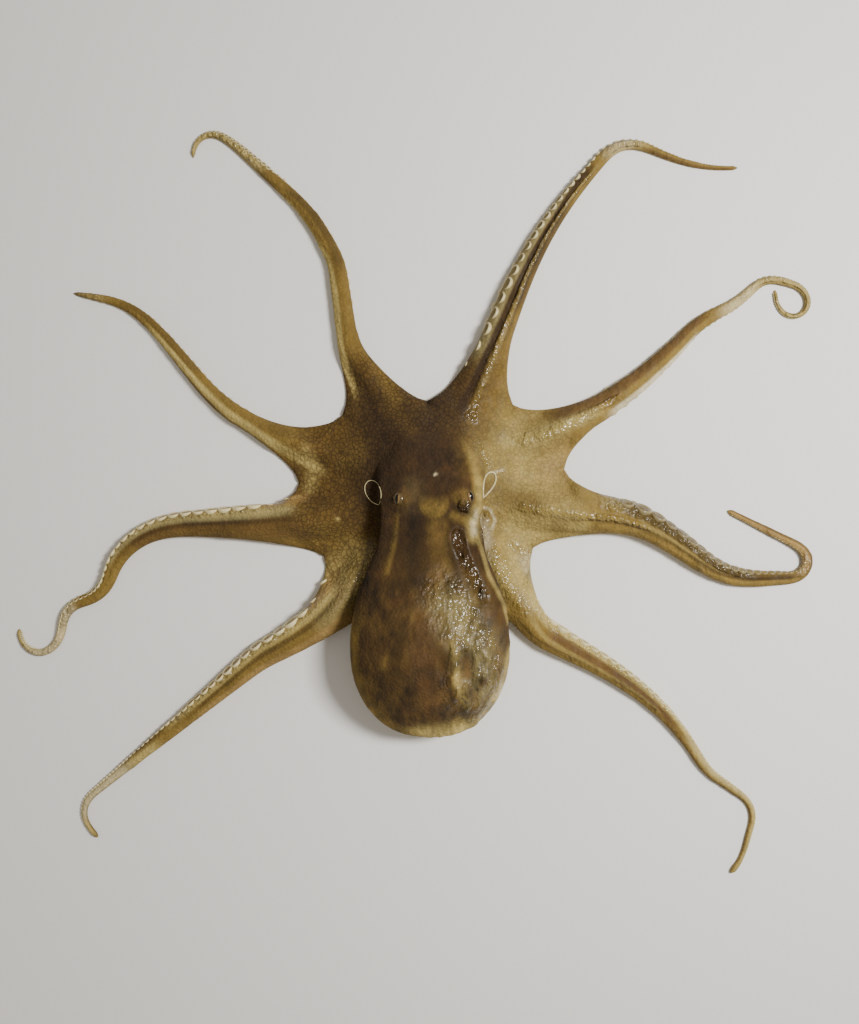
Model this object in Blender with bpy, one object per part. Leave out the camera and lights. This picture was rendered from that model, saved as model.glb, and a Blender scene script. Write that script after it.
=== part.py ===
"""Whole webfoot octopus, lying spread out with its mouth down, as one closed solid.

The skin is lofted in three runs that share their border rings:
  arms and web   rings round the mouth, one upper and one under grid for each arm
  head and sac   loops that leave the innermost upper ring, tilt back and close at the tip
  mouth disc     the flat middle of the underside
Lengths are in millimetres until the mesh is made, which is in metres. The origin is under the
mouth, on the surface the animal lies on. +Z is up and the sac points to -Y.
"""
import bmesh
import bpy
import numpy as np

MM = 0.001
NAME = "octopus"
SKIN_COLOUR = (0.16, 0.10, 0.045, 1.0)
SKIN_ROUGHNESS = 0.35

# rings and cells
BASE_REACH = 15.0  # from the mouth to the ring where the head starts
WEB_REACH = 40.0  # past this ring each arm is on its own
WEB_PITCH = 2.5
FREE_RINGS = 28  # rings of each free arm, closer together towards its tip
FREE_CROWDING = 1.5
HALF_CELLS = 3  # cells from an arm's centre line to its edge
SPINE_SAMPLES = 400

# arms
ROOT_HALF = 6.9  # half width of an arm of girth 1 at the mouth
TIP_HALF = 0.6
ARM_ROUND = 1.5  # height of an arm over its half width
ARM_LEVEL = 0.42  # height of an arm's widest line over its height
ROOT_SUNK = 0.4  # height of the arms at the base ring, over their free height
RIDGE_SPREAD = 1.5  # half width of an arm's ridge in the web, over the arm's own

# web and crown
WEB_THICK = 2.6
WEB_EDGE_THICK = 1.3
WEB_THINNING = 20.0
WEB_FADE = 0.8  # a free edge this much wider than its arm still has the web's section
CROWN_FRONT = 9.0  # height of the skin at the base ring, in front and behind
CROWN_REAR = 5.6
CROWN_TOP_REACH = 9.0
CROWN_REACH = 36.0
BLEND = 2.0  # how softly one form runs into the next

# eyes
EYES = ((-8.5, -4.3), (9.2, -4.3))
EYE_RISE = 1.9
EYE_REACH = 3.6

# head and sac: (y and z of the back line, y and z of the belly line, half width), nose to tip
SAC_STATIONS = (
    (9.0, 10.9, -12.6, 6.6, 14.0),
    (3.0, 12.3, -13.2, 7.0, 13.4),
    (-3.5, 13.2, -14.0, 7.2, 13.0),
    (-10.5, 13.2, -15.2, 7.0, 13.0),
    (-17.0, 13.4, -17.6, 6.2, 13.8),
    (-24.5, 15.6, -25.0, 3.4, 17.0),
    (-33.0, 19.0, -33.0, 0.6, 19.6),
    (-42.5, 21.8, -42.5, -1.2, 20.7),
    (-52.0, 20.8, -52.0, -1.0, 19.6),
    (-60.0, 16.8, -60.0, 0.4, 15.6),
    (-65.4, 12.0, -65.2, 3.6, 9.2),
    (-67.4, 8.0, -67.4, 8.0, 0.0),
)
SAC_LOOPS = 22
NECK_STATION = 5
BASE_FADE = 3.0  # stations over which the base ring's own shape fades out
SAC_SQUARENESS = 2.25
SAC_LEAN = -0.6  # the sac's middle lies this far to the left of the mouth
FLOOR_BLEND = 0.5


def smoothstep(value):
    value = np.clip(value, 0.0, 1.0)
    return value * value * (3.0 - 2.0 * value)


def smooth_max(first, second, blend=BLEND):
    """The higher of two heights, with the corner between them filled over about the blend."""
    mix = np.clip(0.5 + 0.5 * (first - second) / blend, 0.0, 1.0)
    return second + (first - second) * mix + blend * mix * (1.0 - mix)


def round_off(share):
    """Quarter circle from 1 at share 0 down to 0 at share 1."""
    return np.sqrt(np.clip(1.0 - share, 0.0, 1.0))


def smooth_through(stations, places):
    """A smooth curve through evenly spaced stations, read at places from 0 to the last one."""
    padded = np.vstack([2 * stations[0] - stations[1], stations, 2 * stations[-1] - stations[-2]])
    start = np.clip(places.astype(int), 0, len(stations) - 2)
    t = (places - start)[:, None]
    before, here, after, beyond = (padded[start + step] for step in range(4))
    straight = 2 * here + (after - before) * t
    bend = (2 * before - 5 * here + 4 * after - beyond) * t**2
    twist = (3 * here - before - 3 * after + beyond) * t**3
    return (straight + bend + twist) / 2


class Arm:
    """One arm: its centre line on the surface below it, its girth, and the web on its left."""

    def __init__(self, root_deg, length, girth, taper, web_left, flare_left, flare_right, bends):
        """A bend is (share of the length, turn in degrees to the left, share that it takes).

        The width falls towards the tip as the length that is left, to the power of the taper.
        """
        self.length = length
        self.girth = girth
        self.taper = taper
        self.web_left = web_left
        self.flare = {1: flare_left, -1: flare_right}
        self.samples = np.linspace(0.0, length, SPINE_SAMPLES)
        heading = np.full(SPINE_SAMPLES, float(root_deg))
        for place, turn, over in bends:
            heading += turn * smoothstep((self.samples / length - place) / over + 0.5)
        self.heading = np.radians(heading)
        direction = np.column_stack([np.cos(self.heading), np.sin(self.heading)])
        steps = (direction[1:] + direction[:-1]) / 2 * self.samples[1]
        self.line = np.vstack([np.zeros(2), np.cumsum(steps, axis=0)])

    def centre(self, reach):
        """Points of the centre line at distances from the mouth."""
        return np.column_stack([np.interp(reach, self.samples, axis) for axis in self.line.T])

    def forward(self, reach):
        heading = np.interp(reach, self.samples, self.heading)
        return np.column_stack([np.cos(heading), np.sin(heading)])

    def half_width(self, reach):
        left = 1.0 - np.clip(reach / self.length, 0.0, 1.0)
        return self.girth * (TIP_HALF + (ROOT_HALF - TIP_HALF) * left**self.taper)

    def height(self, reach):
        out = smoothstep((reach - BASE_REACH) / (WEB_REACH - BASE_REACH))
        return ARM_ROUND * self.half_width(reach) * (ROOT_SUNK + (1.0 - ROOT_SUNK) * out)

    def rings(self):
        """Distances of the rings from the mouth: even in the web, then closer to the tip."""
        web = np.arange(BASE_REACH, WEB_REACH + WEB_PITCH / 2, WEB_PITCH)
        left = 1.0 - np.linspace(0.0, 1.0, FREE_RINGS + 1)[1:]
        free = self.length - (self.length - WEB_REACH) * left**FREE_CROWDING
        return np.concatenate([web, free])


# anticlockwise from the second arm on the right
ARMS = (
    Arm(22, 136, 0.97, 1.6, 32.5, 20, 9,
        ((0.41, 26, 0.48), (0.69, 49, 0.26), (0.63, -43, 0.12), (0.78, -68, 0.08), (0.91, -252, 0.18))),
    Arm(61.5, 138, 0.90, 1.3, 25.0, 16, 13,
        ((0.11, 7, 0.28), (0.55, -22, 0.44), (0.77, -69, 0.12), (0.93, 27, 0.2))),
    Arm(122, 124, 0.52, 0.65, 32.5, 17, 24,
        ((0.34, -24, 0.12), (0.53, 20, 0.08), (0.65, 20, 0.18), (0.89, 16, 0.12), (0.95, 117, 0.12))),
    Arm(165, 113, 0.54, 0.65, 37.5, 15, 21,
        ((0.36, -14, 0.2), (0.6, -50, 0.32), (0.66, 33, 0.26), (0.86, 35, 0.18))),
    Arm(199, 134, 1.10, 1.35, 37.5, 28, 7,
        ((0.23, -17, 0.08), (0.67, 113, 0.4), (0.74, -83, 0.1), (0.82, 52, 0.08), (0.94, -197, 0.2))),
    Arm(233.5, 139, 1.10, 1.35, 32.5, 26, 15,
        ((0.33, -26, 0.3), (0.48, 12, 0.08), (0.94, 91, 0.1))),
    Arm(305.5, 144, 1.10, 1.7, 35.0, 10, 14,
        ((0.34, 26, 0.08), (0.67, -46, 0.54), (0.76, 33, 0.08), (0.87, -64, 0.08), (1.02, -95, 0.18))),
    Arm(344.5, 135, 1.25, 1.5, 37.5, 9, 23,
        ((0.15, 9, 0.18), (0.42, -29, 0.2), (0.63, 37, 0.16), (0.8, 152, 0.12))),
)


def edge_of(arm, neighbour, side, notch):
    """Outer line of one half of an arm's skin: the seam to its neighbour, then a free edge.

    The free edge leaves the seam at the notch, where the web ends, and closes on the arm over
    the arm's flare. Also returns the directions in which the rings reach the line.
    """
    reach = arm.rings()
    centre, forward = arm.centre(reach), arm.forward(reach)
    outward = side * np.column_stack([-forward[:, 1], forward[:, 0]])
    chord = neighbour.centre(reach) - centre
    seam = centre + chord / 2
    along_seam = chord / np.linalg.norm(chord, axis=1, keepdims=True)

    end = np.argmin(np.abs(reach - notch))
    web_width = (seam - centre)[end] @ outward[end]
    web_lead = (seam - centre)[end] @ forward[end]
    gone = np.clip((reach - notch) / arm.flare[side], 0.0, 1.0)
    web_left = (1.0 - round_off((1.0 - gone) ** 2))[:, None]
    half = arm.half_width(reach)[:, None]
    free = centre + outward * (half + (web_width - half[end]) * web_left) + forward * web_lead * web_left
    along_free = outward + (along_seam[end] - outward) * web_left
    along_free /= np.linalg.norm(along_free, axis=1, keepdims=True)
    joined = reach[:, None] <= notch
    return np.where(joined, seam, free), np.where(joined, along_seam, along_free)


def across_rings(centre, outward, edge, along, u):
    """Points at shares u of the way from the centre line to the edge, square to the line there."""
    span = np.linalg.norm(edge - centre, axis=1)[:, None]
    u = u[:, :, None]
    points = (2 * u**3 - 3 * u**2 + 1) * centre[:, None] + (3 * u**2 - 2 * u**3) * edge[:, None]
    points += (u**3 - 2 * u**2 + u) * (outward * span)[:, None]
    return points + (u**3 - u**2) * (along * span)[:, None]


def ridge(arm, reach, points, thick):
    """How far an arm stands over the web, as a bell across its centre line."""
    away = np.linalg.norm(points - arm.centre(reach)[:, None], axis=2)
    bell = np.clip(1.0 - (away / (RIDGE_SPREAD * arm.half_width(reach)[:, None])) ** 2, 0.0, 1.0) ** 2
    return (arm.height(reach)[:, None] - thick) * bell


def crown_height(points):
    """Height of the cone of skin round the head, lower behind, where the sac lies on it."""
    reach = np.hypot(points[..., 0], points[..., 1])
    rear = 0.5 - 0.5 * points[..., 1] / reach
    peak = CROWN_FRONT + (CROWN_REAR - CROWN_FRONT) * rear
    return peak * (1.0 - smoothstep((reach - CROWN_TOP_REACH) / (CROWN_REACH - CROWN_TOP_REACH)))


def half_grids(arm, neighbour, side):
    """Upper and under points of half an arm, from its centre line to its seam or free edge."""
    reach = arm.rings()
    notch = arm.web_left if side > 0 else neighbour.web_left
    edge, along = edge_of(arm, neighbour, side, notch)
    centre, forward = arm.centre(reach), arm.forward(reach)
    outward = side * np.column_stack([-forward[:, 1], forward[:, 0]])
    joined = reach[:, None] <= notch
    to_free = smoothstep((reach - notch + 2 * WEB_PITCH) / (4 * WEB_PITCH))[:, None]
    to_edge = smoothstep((reach - notch + 2 * WEB_PITCH) / (2 * WEB_PITCH))[:, None]

    even = np.linspace(0.0, 1.0, HALF_CELLS + 1)[None, :]
    u = even + (np.sin(even * np.pi / 2) - even) * to_free
    points = across_rings(centre, outward, edge, along, u)

    half, height = arm.half_width(reach)[:, None], arm.height(reach)[:, None]
    span = np.linalg.norm(edge - centre, axis=1)[:, None]
    webbed = np.where(joined, 1.0, smoothstep((span / half - 1.0) / WEB_FADE))
    out = smoothstep((reach - BASE_REACH) / WEB_THINNING)[:, None]
    thick = WEB_THICK + (WEB_EDGE_THICK - WEB_THICK) * out
    own = thick + ridge(arm, reach, points, thick)
    shared = smooth_max(own, thick + ridge(neighbour, reach, points, thick))
    top = height + (np.where(joined, shared, own) - height) * webbed
    top = smooth_max(top, crown_height(points))
    level = ARM_LEVEL * height + (0.5 * thick - ARM_LEVEL * height) * webbed

    tip = round_off(1.0 - (arm.length - reach) / (2 * TIP_HALF))[:, None]
    points = centre[:, None] + (points - centre[:, None]) * tip[:, :, None]
    upper = level + (top - level) * round_off(to_edge * u ** (2.0 + 6.0 * webbed)) * tip
    under = level - level * round_off(to_edge * u ** (3.0 + 5.0 * webbed)) * tip
    return np.dstack([points, upper]), np.dstack([points, under])


def arm_grids(index):
    """Upper and under grids of one arm, across from its right edge to its left edge."""
    left = half_grids(ARMS[index], ARMS[(index + 1) % len(ARMS)], 1)
    right = half_grids(ARMS[index], ARMS[index - 1], -1)
    return [np.concatenate([r[:, :0:-1], l], axis=1) for r, l in zip(right, left)]


def eye_bumps(points):
    rise = np.zeros(points.shape[:-1])
    for x, y in EYES:
        away = np.hypot(points[..., 0] - x, points[..., 1] - y)
        rise += EYE_RISE * np.exp(-((away / EYE_REACH) ** 2))
    return rise


def squared_round(wave):
    """A sine or cosine pushed outwards, so that the circle it draws is slightly square."""
    return np.sign(wave) * np.abs(wave) ** (2 / SAC_SQUARENESS)


def sac_grid(base):
    """Loops of the head and the sac, from the base ring to the tip.

    Each loop hangs between the back line and the belly line. The first has the base ring's
    shape, and the ones past the neck are rounded.
    """
    front, rear = base[np.argmax(base[:, 1])], base[np.argmin(base[:, 1])]
    base_half = np.ptp(base[:, 0]) / 2
    stations = np.vstack([(front[1], front[2], rear[1], rear[2], base_half), SAC_STATIONS])
    place = np.linspace(0.0, len(stations) - 1.0, SAC_LOOPS + 1)
    back_y, back_z, belly_y, belly_z, half = smooth_through(stations, place).T
    to_neck = smoothstep(place / NECK_STATION)
    middle = np.column_stack([SAC_LEAN * to_neck, (back_y + belly_y) / 2, (back_z + belly_z) / 2])
    rise = np.column_stack([np.zeros_like(place), (back_y - belly_y) / 2, (back_z - belly_z) / 2])

    angle = np.arctan2(base[:, 1], base[:, 0])
    base_x, base_y = base[:, 0] / base_half, (base[:, 1] - middle[0, 1]) / rise[0, 1]
    x = base_x + (squared_round(np.cos(angle)) - base_x) * to_neck[:, None]
    z = base_y + (squared_round(np.sin(angle)) - base_y) * to_neck[:, None]
    points = middle[:, None] + z[:, :, None] * rise[:, None]
    points[:, :, 0] += x * half[:, None]
    points += (base - points[0]) * (1.0 - smoothstep(place / BASE_FADE))[:, None, None]
    points[:, :, 2] += eye_bumps(points) * np.clip(z, 0.0, 1.0)
    points[:, :, 2] = smooth_max(points[:, :, 2], 0.0, FLOOR_BLEND)
    points[0] = base
    points[-1] = points[-1].mean(axis=0)
    return points


def cells(rows, columns, closed):
    """Corner indexes of a grid's cells; a closed grid joins its last column to its first."""
    row, column = np.mgrid[0 : rows - 1, 0 : columns - (not closed)]
    after = (column + 1) % columns
    here, above = row * columns, (row + 1) * columns
    return np.stack([here + column, here + after, above + after, above + column], axis=-1).reshape(-1, 4)


def skin_arrays():
    """Points and faces of the whole skin, with the shared border points still doubled."""
    points, faces = [], []

    def add(grid, closed=False, turned=False):
        start = sum(len(block) for block in points)
        corners = cells(grid.shape[0], grid.shape[1], closed) + start
        points.append(grid.reshape(-1, 3))
        faces.append(corners[:, ::-1] if turned else corners)

    base, floor = [], []
    for index in range(len(ARMS)):
        upper, under = arm_grids(index)
        add(upper, turned=True)
        add(under)
        base.append(upper[0, :-1])
        floor.append(under[0, :-1])
    add(sac_grid(np.concatenate(base)), closed=True)
    floor = np.concatenate(floor)
    add(np.stack([floor, np.zeros_like(floor)]), closed=True, turned=True)
    return np.concatenate(points), np.concatenate(faces)


def make_skin(material, collection):
    points, faces = skin_arrays()
    mesh = bpy.data.meshes.new(NAME)
    mesh.from_pydata((points * MM).tolist(), [], faces.tolist())
    form = bmesh.new()
    form.from_mesh(mesh)
    bmesh.ops.remove_doubles(form, verts=form.verts, dist=0.01 * MM)
    bmesh.ops.recalc_face_normals(form, faces=form.faces)
    form.to_mesh(mesh)
    form.free()
    mesh.materials.append(material)
    skin = bpy.data.objects.new(NAME, mesh)
    collection.objects.link(skin)


def make_material():
    material = bpy.data.materials.new("octopus_skin")
    material.use_nodes = True
    shader = material.node_tree.nodes["Principled BSDF"]
    shader.inputs["Base Color"].default_value = SKIN_COLOUR
    shader.inputs["Roughness"].default_value = SKIN_ROUGHNESS
    shader.inputs["Metallic"].default_value = 0.0
    material.diffuse_color = SKIN_COLOUR
    return material


def main():
    for old in list(bpy.data.objects):
        bpy.data.objects.remove(old, do_unlink=True)
    collection = bpy.data.collections.new(NAME)
    bpy.context.scene.collection.children.link(collection)
    make_skin(make_material(), collection)


main()
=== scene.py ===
"""Looks of a whole raw webfoot octopus that lies spread out with its mouth down.

The skin repeats the forms of the solid at a finer pitch, and adds its low relief and its colours.
The suckers, the eyes and the eyespot rings are pieces of their own. Lengths are in millimetres
until a mesh is made. The animal lies on z = 0 and its sac points to -Y.
"""

import bmesh
import bpy
import numpy as np
from bpy.props import FloatProperty, FloatVectorProperty, PointerProperty
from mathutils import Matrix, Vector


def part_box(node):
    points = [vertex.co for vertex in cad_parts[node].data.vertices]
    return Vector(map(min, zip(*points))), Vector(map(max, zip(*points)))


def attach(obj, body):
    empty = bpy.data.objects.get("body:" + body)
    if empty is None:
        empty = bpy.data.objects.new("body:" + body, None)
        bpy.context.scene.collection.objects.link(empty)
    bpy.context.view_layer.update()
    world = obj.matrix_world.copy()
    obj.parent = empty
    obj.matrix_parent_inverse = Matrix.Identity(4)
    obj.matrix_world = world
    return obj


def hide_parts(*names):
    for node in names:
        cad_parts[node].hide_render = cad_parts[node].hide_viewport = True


bl_info = {
    "name": "Webfoot octopus looks",
    "version": (1, 0, 0),
    "blender": (4, 5, 0),
    "location": "3D View > Sidebar > Octopus",
    "description": "Skin, suckers, eyes and studio of a whole raw octopus",
    "category": "Object",
}

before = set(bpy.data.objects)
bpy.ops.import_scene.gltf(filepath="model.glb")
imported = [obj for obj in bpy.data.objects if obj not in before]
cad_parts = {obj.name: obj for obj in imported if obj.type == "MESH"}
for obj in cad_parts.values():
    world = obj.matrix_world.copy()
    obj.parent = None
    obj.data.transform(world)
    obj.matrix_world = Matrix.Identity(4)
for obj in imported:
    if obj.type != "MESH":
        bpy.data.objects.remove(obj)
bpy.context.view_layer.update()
NODE = "octopus"
BODY = "root"
SPREAD = 214.7  # from the left arm tips to the right ones
MM = (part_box(NODE)[1].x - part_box(NODE)[0].x) / SPREAD

# rings and cells
BASE_REACH = 15.0  # from the mouth to the ring where the head starts
WEB_REACH = 40.0  # past this ring each arm is on its own
WEB_PITCH = 0.625
FREE_RINGS = 140  # rings of each free arm, closer together towards its tip
FREE_CROWDING = 1.5
TOP_CELLS = 15  # cells from an arm's centre line to its edge, above and below
UNDER_CELLS = 5
SAC_LOOPS = 120
SPINE_SAMPLES = 600
FIELDS = ("arm", "reach", "across", "under", "station")  # what each point of the skin knows
SKIN_WELD = 0.005  # points closer than this are merged, in the skin and in the small pieces
SMALL_WELD = 0.0005

# arms
ROOT_HALF = 6.9  # half width of an arm of girth 1 at the mouth
TIP_HALF = 0.6
ARM_ROUND = 1.5  # height of an arm over its half width
ARM_LEVEL = 0.42  # height of an arm's widest line over its height
ROOT_SUNK = 0.4  # height of the arms at the base ring, over their free height
RIDGE_SPREAD = 1.5  # half width of an arm's ridge in the web, over the arm's own
TOP_POWERS = (2.0, 8.0)  # how square the upper side is on an arm, and in the web
UNDER_POWERS = (3.0, 8.0)

# web and crown
WEB_THICK = 2.6
WEB_EDGE_THICK = 1.3
WEB_THINNING = 20.0
WEB_FADE = 0.8  # a free edge this much wider than its arm still has the web's section
NOTCH_LEAD = 10.0  # reach over which the cells even out round the end of the web
CROWN_FRONT = 9.0  # height of the skin at the base ring, in front and behind
CROWN_REAR = 5.6
CROWN_TOP_REACH = 9.0
CROWN_REACH = 36.0
CROWN_SOFTNESS = 6.0  # how far from the base ring the crown is evened out
CROWN_ROUNDS = 60
CROWN_FRONT_FADE = (-2.0, 6.0)  # it is evened out only in front, from the first y to the second
BLEND = 2.0  # how softly one form runs into the next

# underside
MOUTH_LOOPS = 14
MOUTH_DEPTH = 2.4  # the underside is drawn up by this much over the mouth
MOUTH_REACH = 5.0
LIFT_SHARE = 0.6  # the underside rises by at most this share of the arm's widest line
FLOOR_BLEND = 0.5

# head and sac: (y and z of the back line, y and z of the belly line, half width), nose to tip
SAC_STATIONS = (
    (9, 10.9, -12.6, 6.6, 14),
    (3, 12.3, -13.2, 7, 13.4),
    (-3.5, 13.2, -14, 7.2, 13),
    (-10.5, 13.2, -15.2, 7, 13),
    (-17, 13.4, -17.6, 6.2, 13.8),
    (-24.5, 15.6, -25, 3.4, 17),
    (-33, 19, -33, 0.6, 19.6),
    (-42.5, 21.8, -42.5, -1.2, 20.7),
    (-52, 20.8, -52, -1, 19.6),
    (-60, 16.8, -60, 0.4, 15.6),
    (-65.4, 12, -65.2, 3.6, 9.2),
    (-67.4, 8, -67.4, 8, 0),
)
NECK_STATION = 5
HEAD_START = 1.6  # stations over which the web's colours run into those of the head
BASE_FADE = 3.0  # stations over which the base ring's own shape fades out
SAC_SQUARENESS = 2.25
SAC_LEAN = -0.6  # the sac's middle lies this far to the left of the mouth
EYE_BUMPS = ((-8.5, -4.3), (9.2, -4.3))
EYE_RISE = 1.9
EYE_REACH = 3.6

# lines on the head and the sac, seen from above, that more than one treatment follows
RIDGE_LINE = ((9, 11), (10.2, 8), (11.2, 4), (12.2, -1.4), (12.3, -6.6))
NECK_EDGE = ((11.6, -14.8), (13.3, -19.6), (14.6, -24.4), (16.8, -28.3), (18.5, -32.2), (19.8, -36.6))
POOL = ((6.6, -14), (8, -19.5), (10.2, -24.5), (13, -30))
DRIP_LINE = ((5, -41.5), (6.4, -46.5), (5.6, -50), (7.4, -54), (9.2, -57.5))

# low relief, seen from above: (height, half width, line), the lumps' heights over the lump height
FOLDS = (
    (0.4, 2.2, ((9, 12), (10.2, 8), (11.2, 4), (12.2, -1.4), (12.1, -6.6), (10.5, -10.4), (9.3, -13.4))),
    (-1.2, 2.8, POOL),
    (0.45, 0.9, ((5.6, -11.6), (4.2, -14.6), (5, -18.5), (6.3, -22), (7.6, -25.6), (9.6, -29.5))),
    (0.2, 1, ((-9, -9), (-9.4, -15), (-10.6, -20), (-11.4, -23.5))),
    (0.5, 1.2, NECK_EDGE),
    (0.9, 1.8, ((15.6, -7.6), (14, -11), (12.2, -14), (12, -18))),
    (0.45, 3.6, ((-1.4, -6.4), (2.2, -6.4))),
    (0.35, 1.8, ((-7.3, -5),)),
    (0.45, 2, ((7.8, -4.8),)),
    (0.3, 1, ((0.8, 1.6),)),
)
LUMPS = (
    (1.5, 0.8, ((7.4, -5.6), (8, -6.2))),
    (1.5, 0.8, ((8.6, -7.4), (9.2, -7))),
    (1.25, 1.6, ((5, -41.5), (6, -44), (6.6, -46.5))),
    (1.25, 0.9, ((5.8, -47.5), (5.6, -49.6))),
    (1.25, 0.8, ((3.2, -52.5), (3.6, -50.6), (5.4, -50.2))),
    (1.25, 0.9, ((6, -54.6), (6.6, -52.6), (7.6, -52.6), (8.6, -54.6), (9.4, -57.2), (8.4, -58.4))),
    (1.25, 2, ((11.2, -40.4), (13.6, -45.6), (12.8, -50.4))),
    (1, 1.6, ((15.2, -34), (15.8, -42))),
    (1, 1.4, ((0.4, -27.6), (0.8, -31))),
    (1.5, 0.9, ((7.2, -16.6), (6.6, -15.4))),
    (1.5, 0.9, ((8.8, -19.6), (8, -20.4))),
    (1.5, 0.9, ((9.8, -22.8), (8.8, -23.4))),
    (1.5, 0.9, ((11.4, -25.8), (10.4, -26.2))),
    (1.25, 0.8, ((12.8, -28), (11.8, -28.8))),
    (-2, 2.8, ((8.4, -44.8), (8.8, -49))),
    (-1.5, 1.8, ((10.4, -53), (10.8, -56))),
    (-1, 1, ((7.2, -55.4),)),
    (-1.25, 2.2, ((2.6, -44), (3, -47.5))),
)

# where the skin changes along x or y: the place at which a change starts, and where it is full
SAC_LUMPS_Y = (-22, -30)
WET_SIDE_X = (-2, 4)
RIGHT_WEB_X = (4, 14)
# painted light: the web is painted paler towards the right, partly its own paler skin and partly the key
# light on the right
PALE_AND_LIT_WEB_X = (2, 24)
MOTTLED_Y = (-16, -28)
DOTTED_Y = (-24, -12)
PALE_AND_LIT_RIM_X = (3, -9)
PALE_AND_LIT_RIM_Y = (-30, -42)
NET_HEAD_Y = (1, 9)
NET_REACH = (50, 34)

# noises by name, each the sum of (strength, size of the cells, seed)
NOISES = {
    "drips": ((0.7, (2.2, 6), 1), (0.35, (1.2, 3), 2)),
    "sac wrinkles": ((1, (0.9, 1.4), 3),),
    "arm swells": ((0.2, 5, 4),),
    "arm wrinkles": ((0.6, 1.1, 5),),
    "pool ripples": ((0.55, (1, 1.4), 16),),
    "patches": ((1, 4.5, 6), (0.7, 1.6, 7), (0.5, 0.8, 10)),
    "rust": ((1, 3.4, 8), (0.5, 1.5, 9)),
    "sac mottling": ((0.34, (1.1, 2.4), 13), (0.238, (0.6, 1.1), 14), (0.42, (3, 5), 17)),
    "head dots": ((0.26, 0.9, 18), (0.156, 2.2, 19)),
    "wet breaks": ((0.5, (1.2, 2.2), 12), (0.3, (0.6, 0.9), 15)),
}
HASH_STEPS = (73856093, 19349663, 83492791)
HASH_SEED = 7919
HASH_MIX = 1274126177


def smoothstep(value):
    value = np.clip(value, 0.0, 1.0)
    return value * value * (3.0 - 2.0 * value)


def ramp(values, start, end):
    """0 up to the start and 1 from the end on, with a smooth rise between them."""
    return smoothstep((values - start) / (end - start))


def between(ends, share):
    """The first of two values at share 0, and the second at share 1."""
    return ends[0] + (ends[1] - ends[0]) * share


def smooth_max(first, second, blend=BLEND):
    """The higher of two heights, with the corner between them filled over about the blend."""
    mix = np.clip(0.5 + 0.5 * (first - second) / blend, 0.0, 1.0)
    return second + (first - second) * mix + blend * mix * (1.0 - mix)


def round_off(share):
    """Quarter circle from 1 at share 0 down to 0 at share 1."""
    return np.sqrt(np.clip(1.0 - share, 0.0, 1.0))


def smooth_through(stations, places):
    """A smooth curve through evenly spaced stations, read at places from 0 to the last one."""
    padded = np.vstack([2 * stations[0] - stations[1], stations, 2 * stations[-1] - stations[-2]])
    start = np.clip(places.astype(int), 0, len(stations) - 2)
    t = (places - start)[:, None]
    before, here, after, beyond = (padded[start + step] for step in range(4))
    straight = 2 * here + (after - before) * t
    bend = (2 * before - 5 * here + 4 * after - beyond) * t**2
    twist = (3 * here - before - 3 * after + beyond) * t**3
    return (straight + bend + twist) / 2


def unit(vectors):
    """Vectors over their lengths."""
    return vectors / np.linalg.norm(vectors, axis=1, keepdims=True)


def full_turn(count):
    """Even steps round a circle, in radians."""
    return np.linspace(0.0, 2 * np.pi, count, endpoint=False)


def lattice_noise(places, cell, seed):
    """Smooth random values from -1 to 1: one at each lattice corner, blended between corners."""
    place = places / np.asarray(cell, float)
    corner = np.floor(place).astype(np.int64)
    part = smoothstep(place - corner)
    total = np.zeros(place.shape[:-1])
    for step in np.ndindex(*(2,) * place.shape[-1]):
        key = ((corner + step) * HASH_STEPS[: place.shape[-1]]).sum(axis=-1) + seed * HASH_SEED
        key = ((key ^ (key >> 13)) * HASH_MIX) & 0xFFFFFFFF
        value = ((key ^ (key >> 16)) & 0xFFFF) / 32767.5 - 1.0
        total += value * np.where(step, part, 1.0 - part).prod(axis=-1)
    return total


def noise(name, places):
    """Sum of the noises of that name, each over its own lattice."""
    return sum(strength * lattice_noise(places, cell, seed) for strength, cell, seed in NOISES[name])


def away_from(places, path):
    """Distance of each place from a line through points, or from a single point."""
    path = np.array(path, float)
    nearest = np.linalg.norm(places - path[0], axis=1)
    for start, end in zip(path[:-1], path[1:]):
        run = end - start
        share = np.clip((places - start) @ run / (run @ run), 0.0, 1.0)[:, None]
        nearest = np.minimum(nearest, np.linalg.norm(places - start - share * run, axis=1))
    return nearest


def stroke(places, path, half, fading=1.0):
    """A soft brush along a line: 1 near the line, then a smooth fall to 0 at the half width."""
    return 1.0 - smoothstep((away_from(places, path) / half - 1.0) / fading + 1.0)


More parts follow.
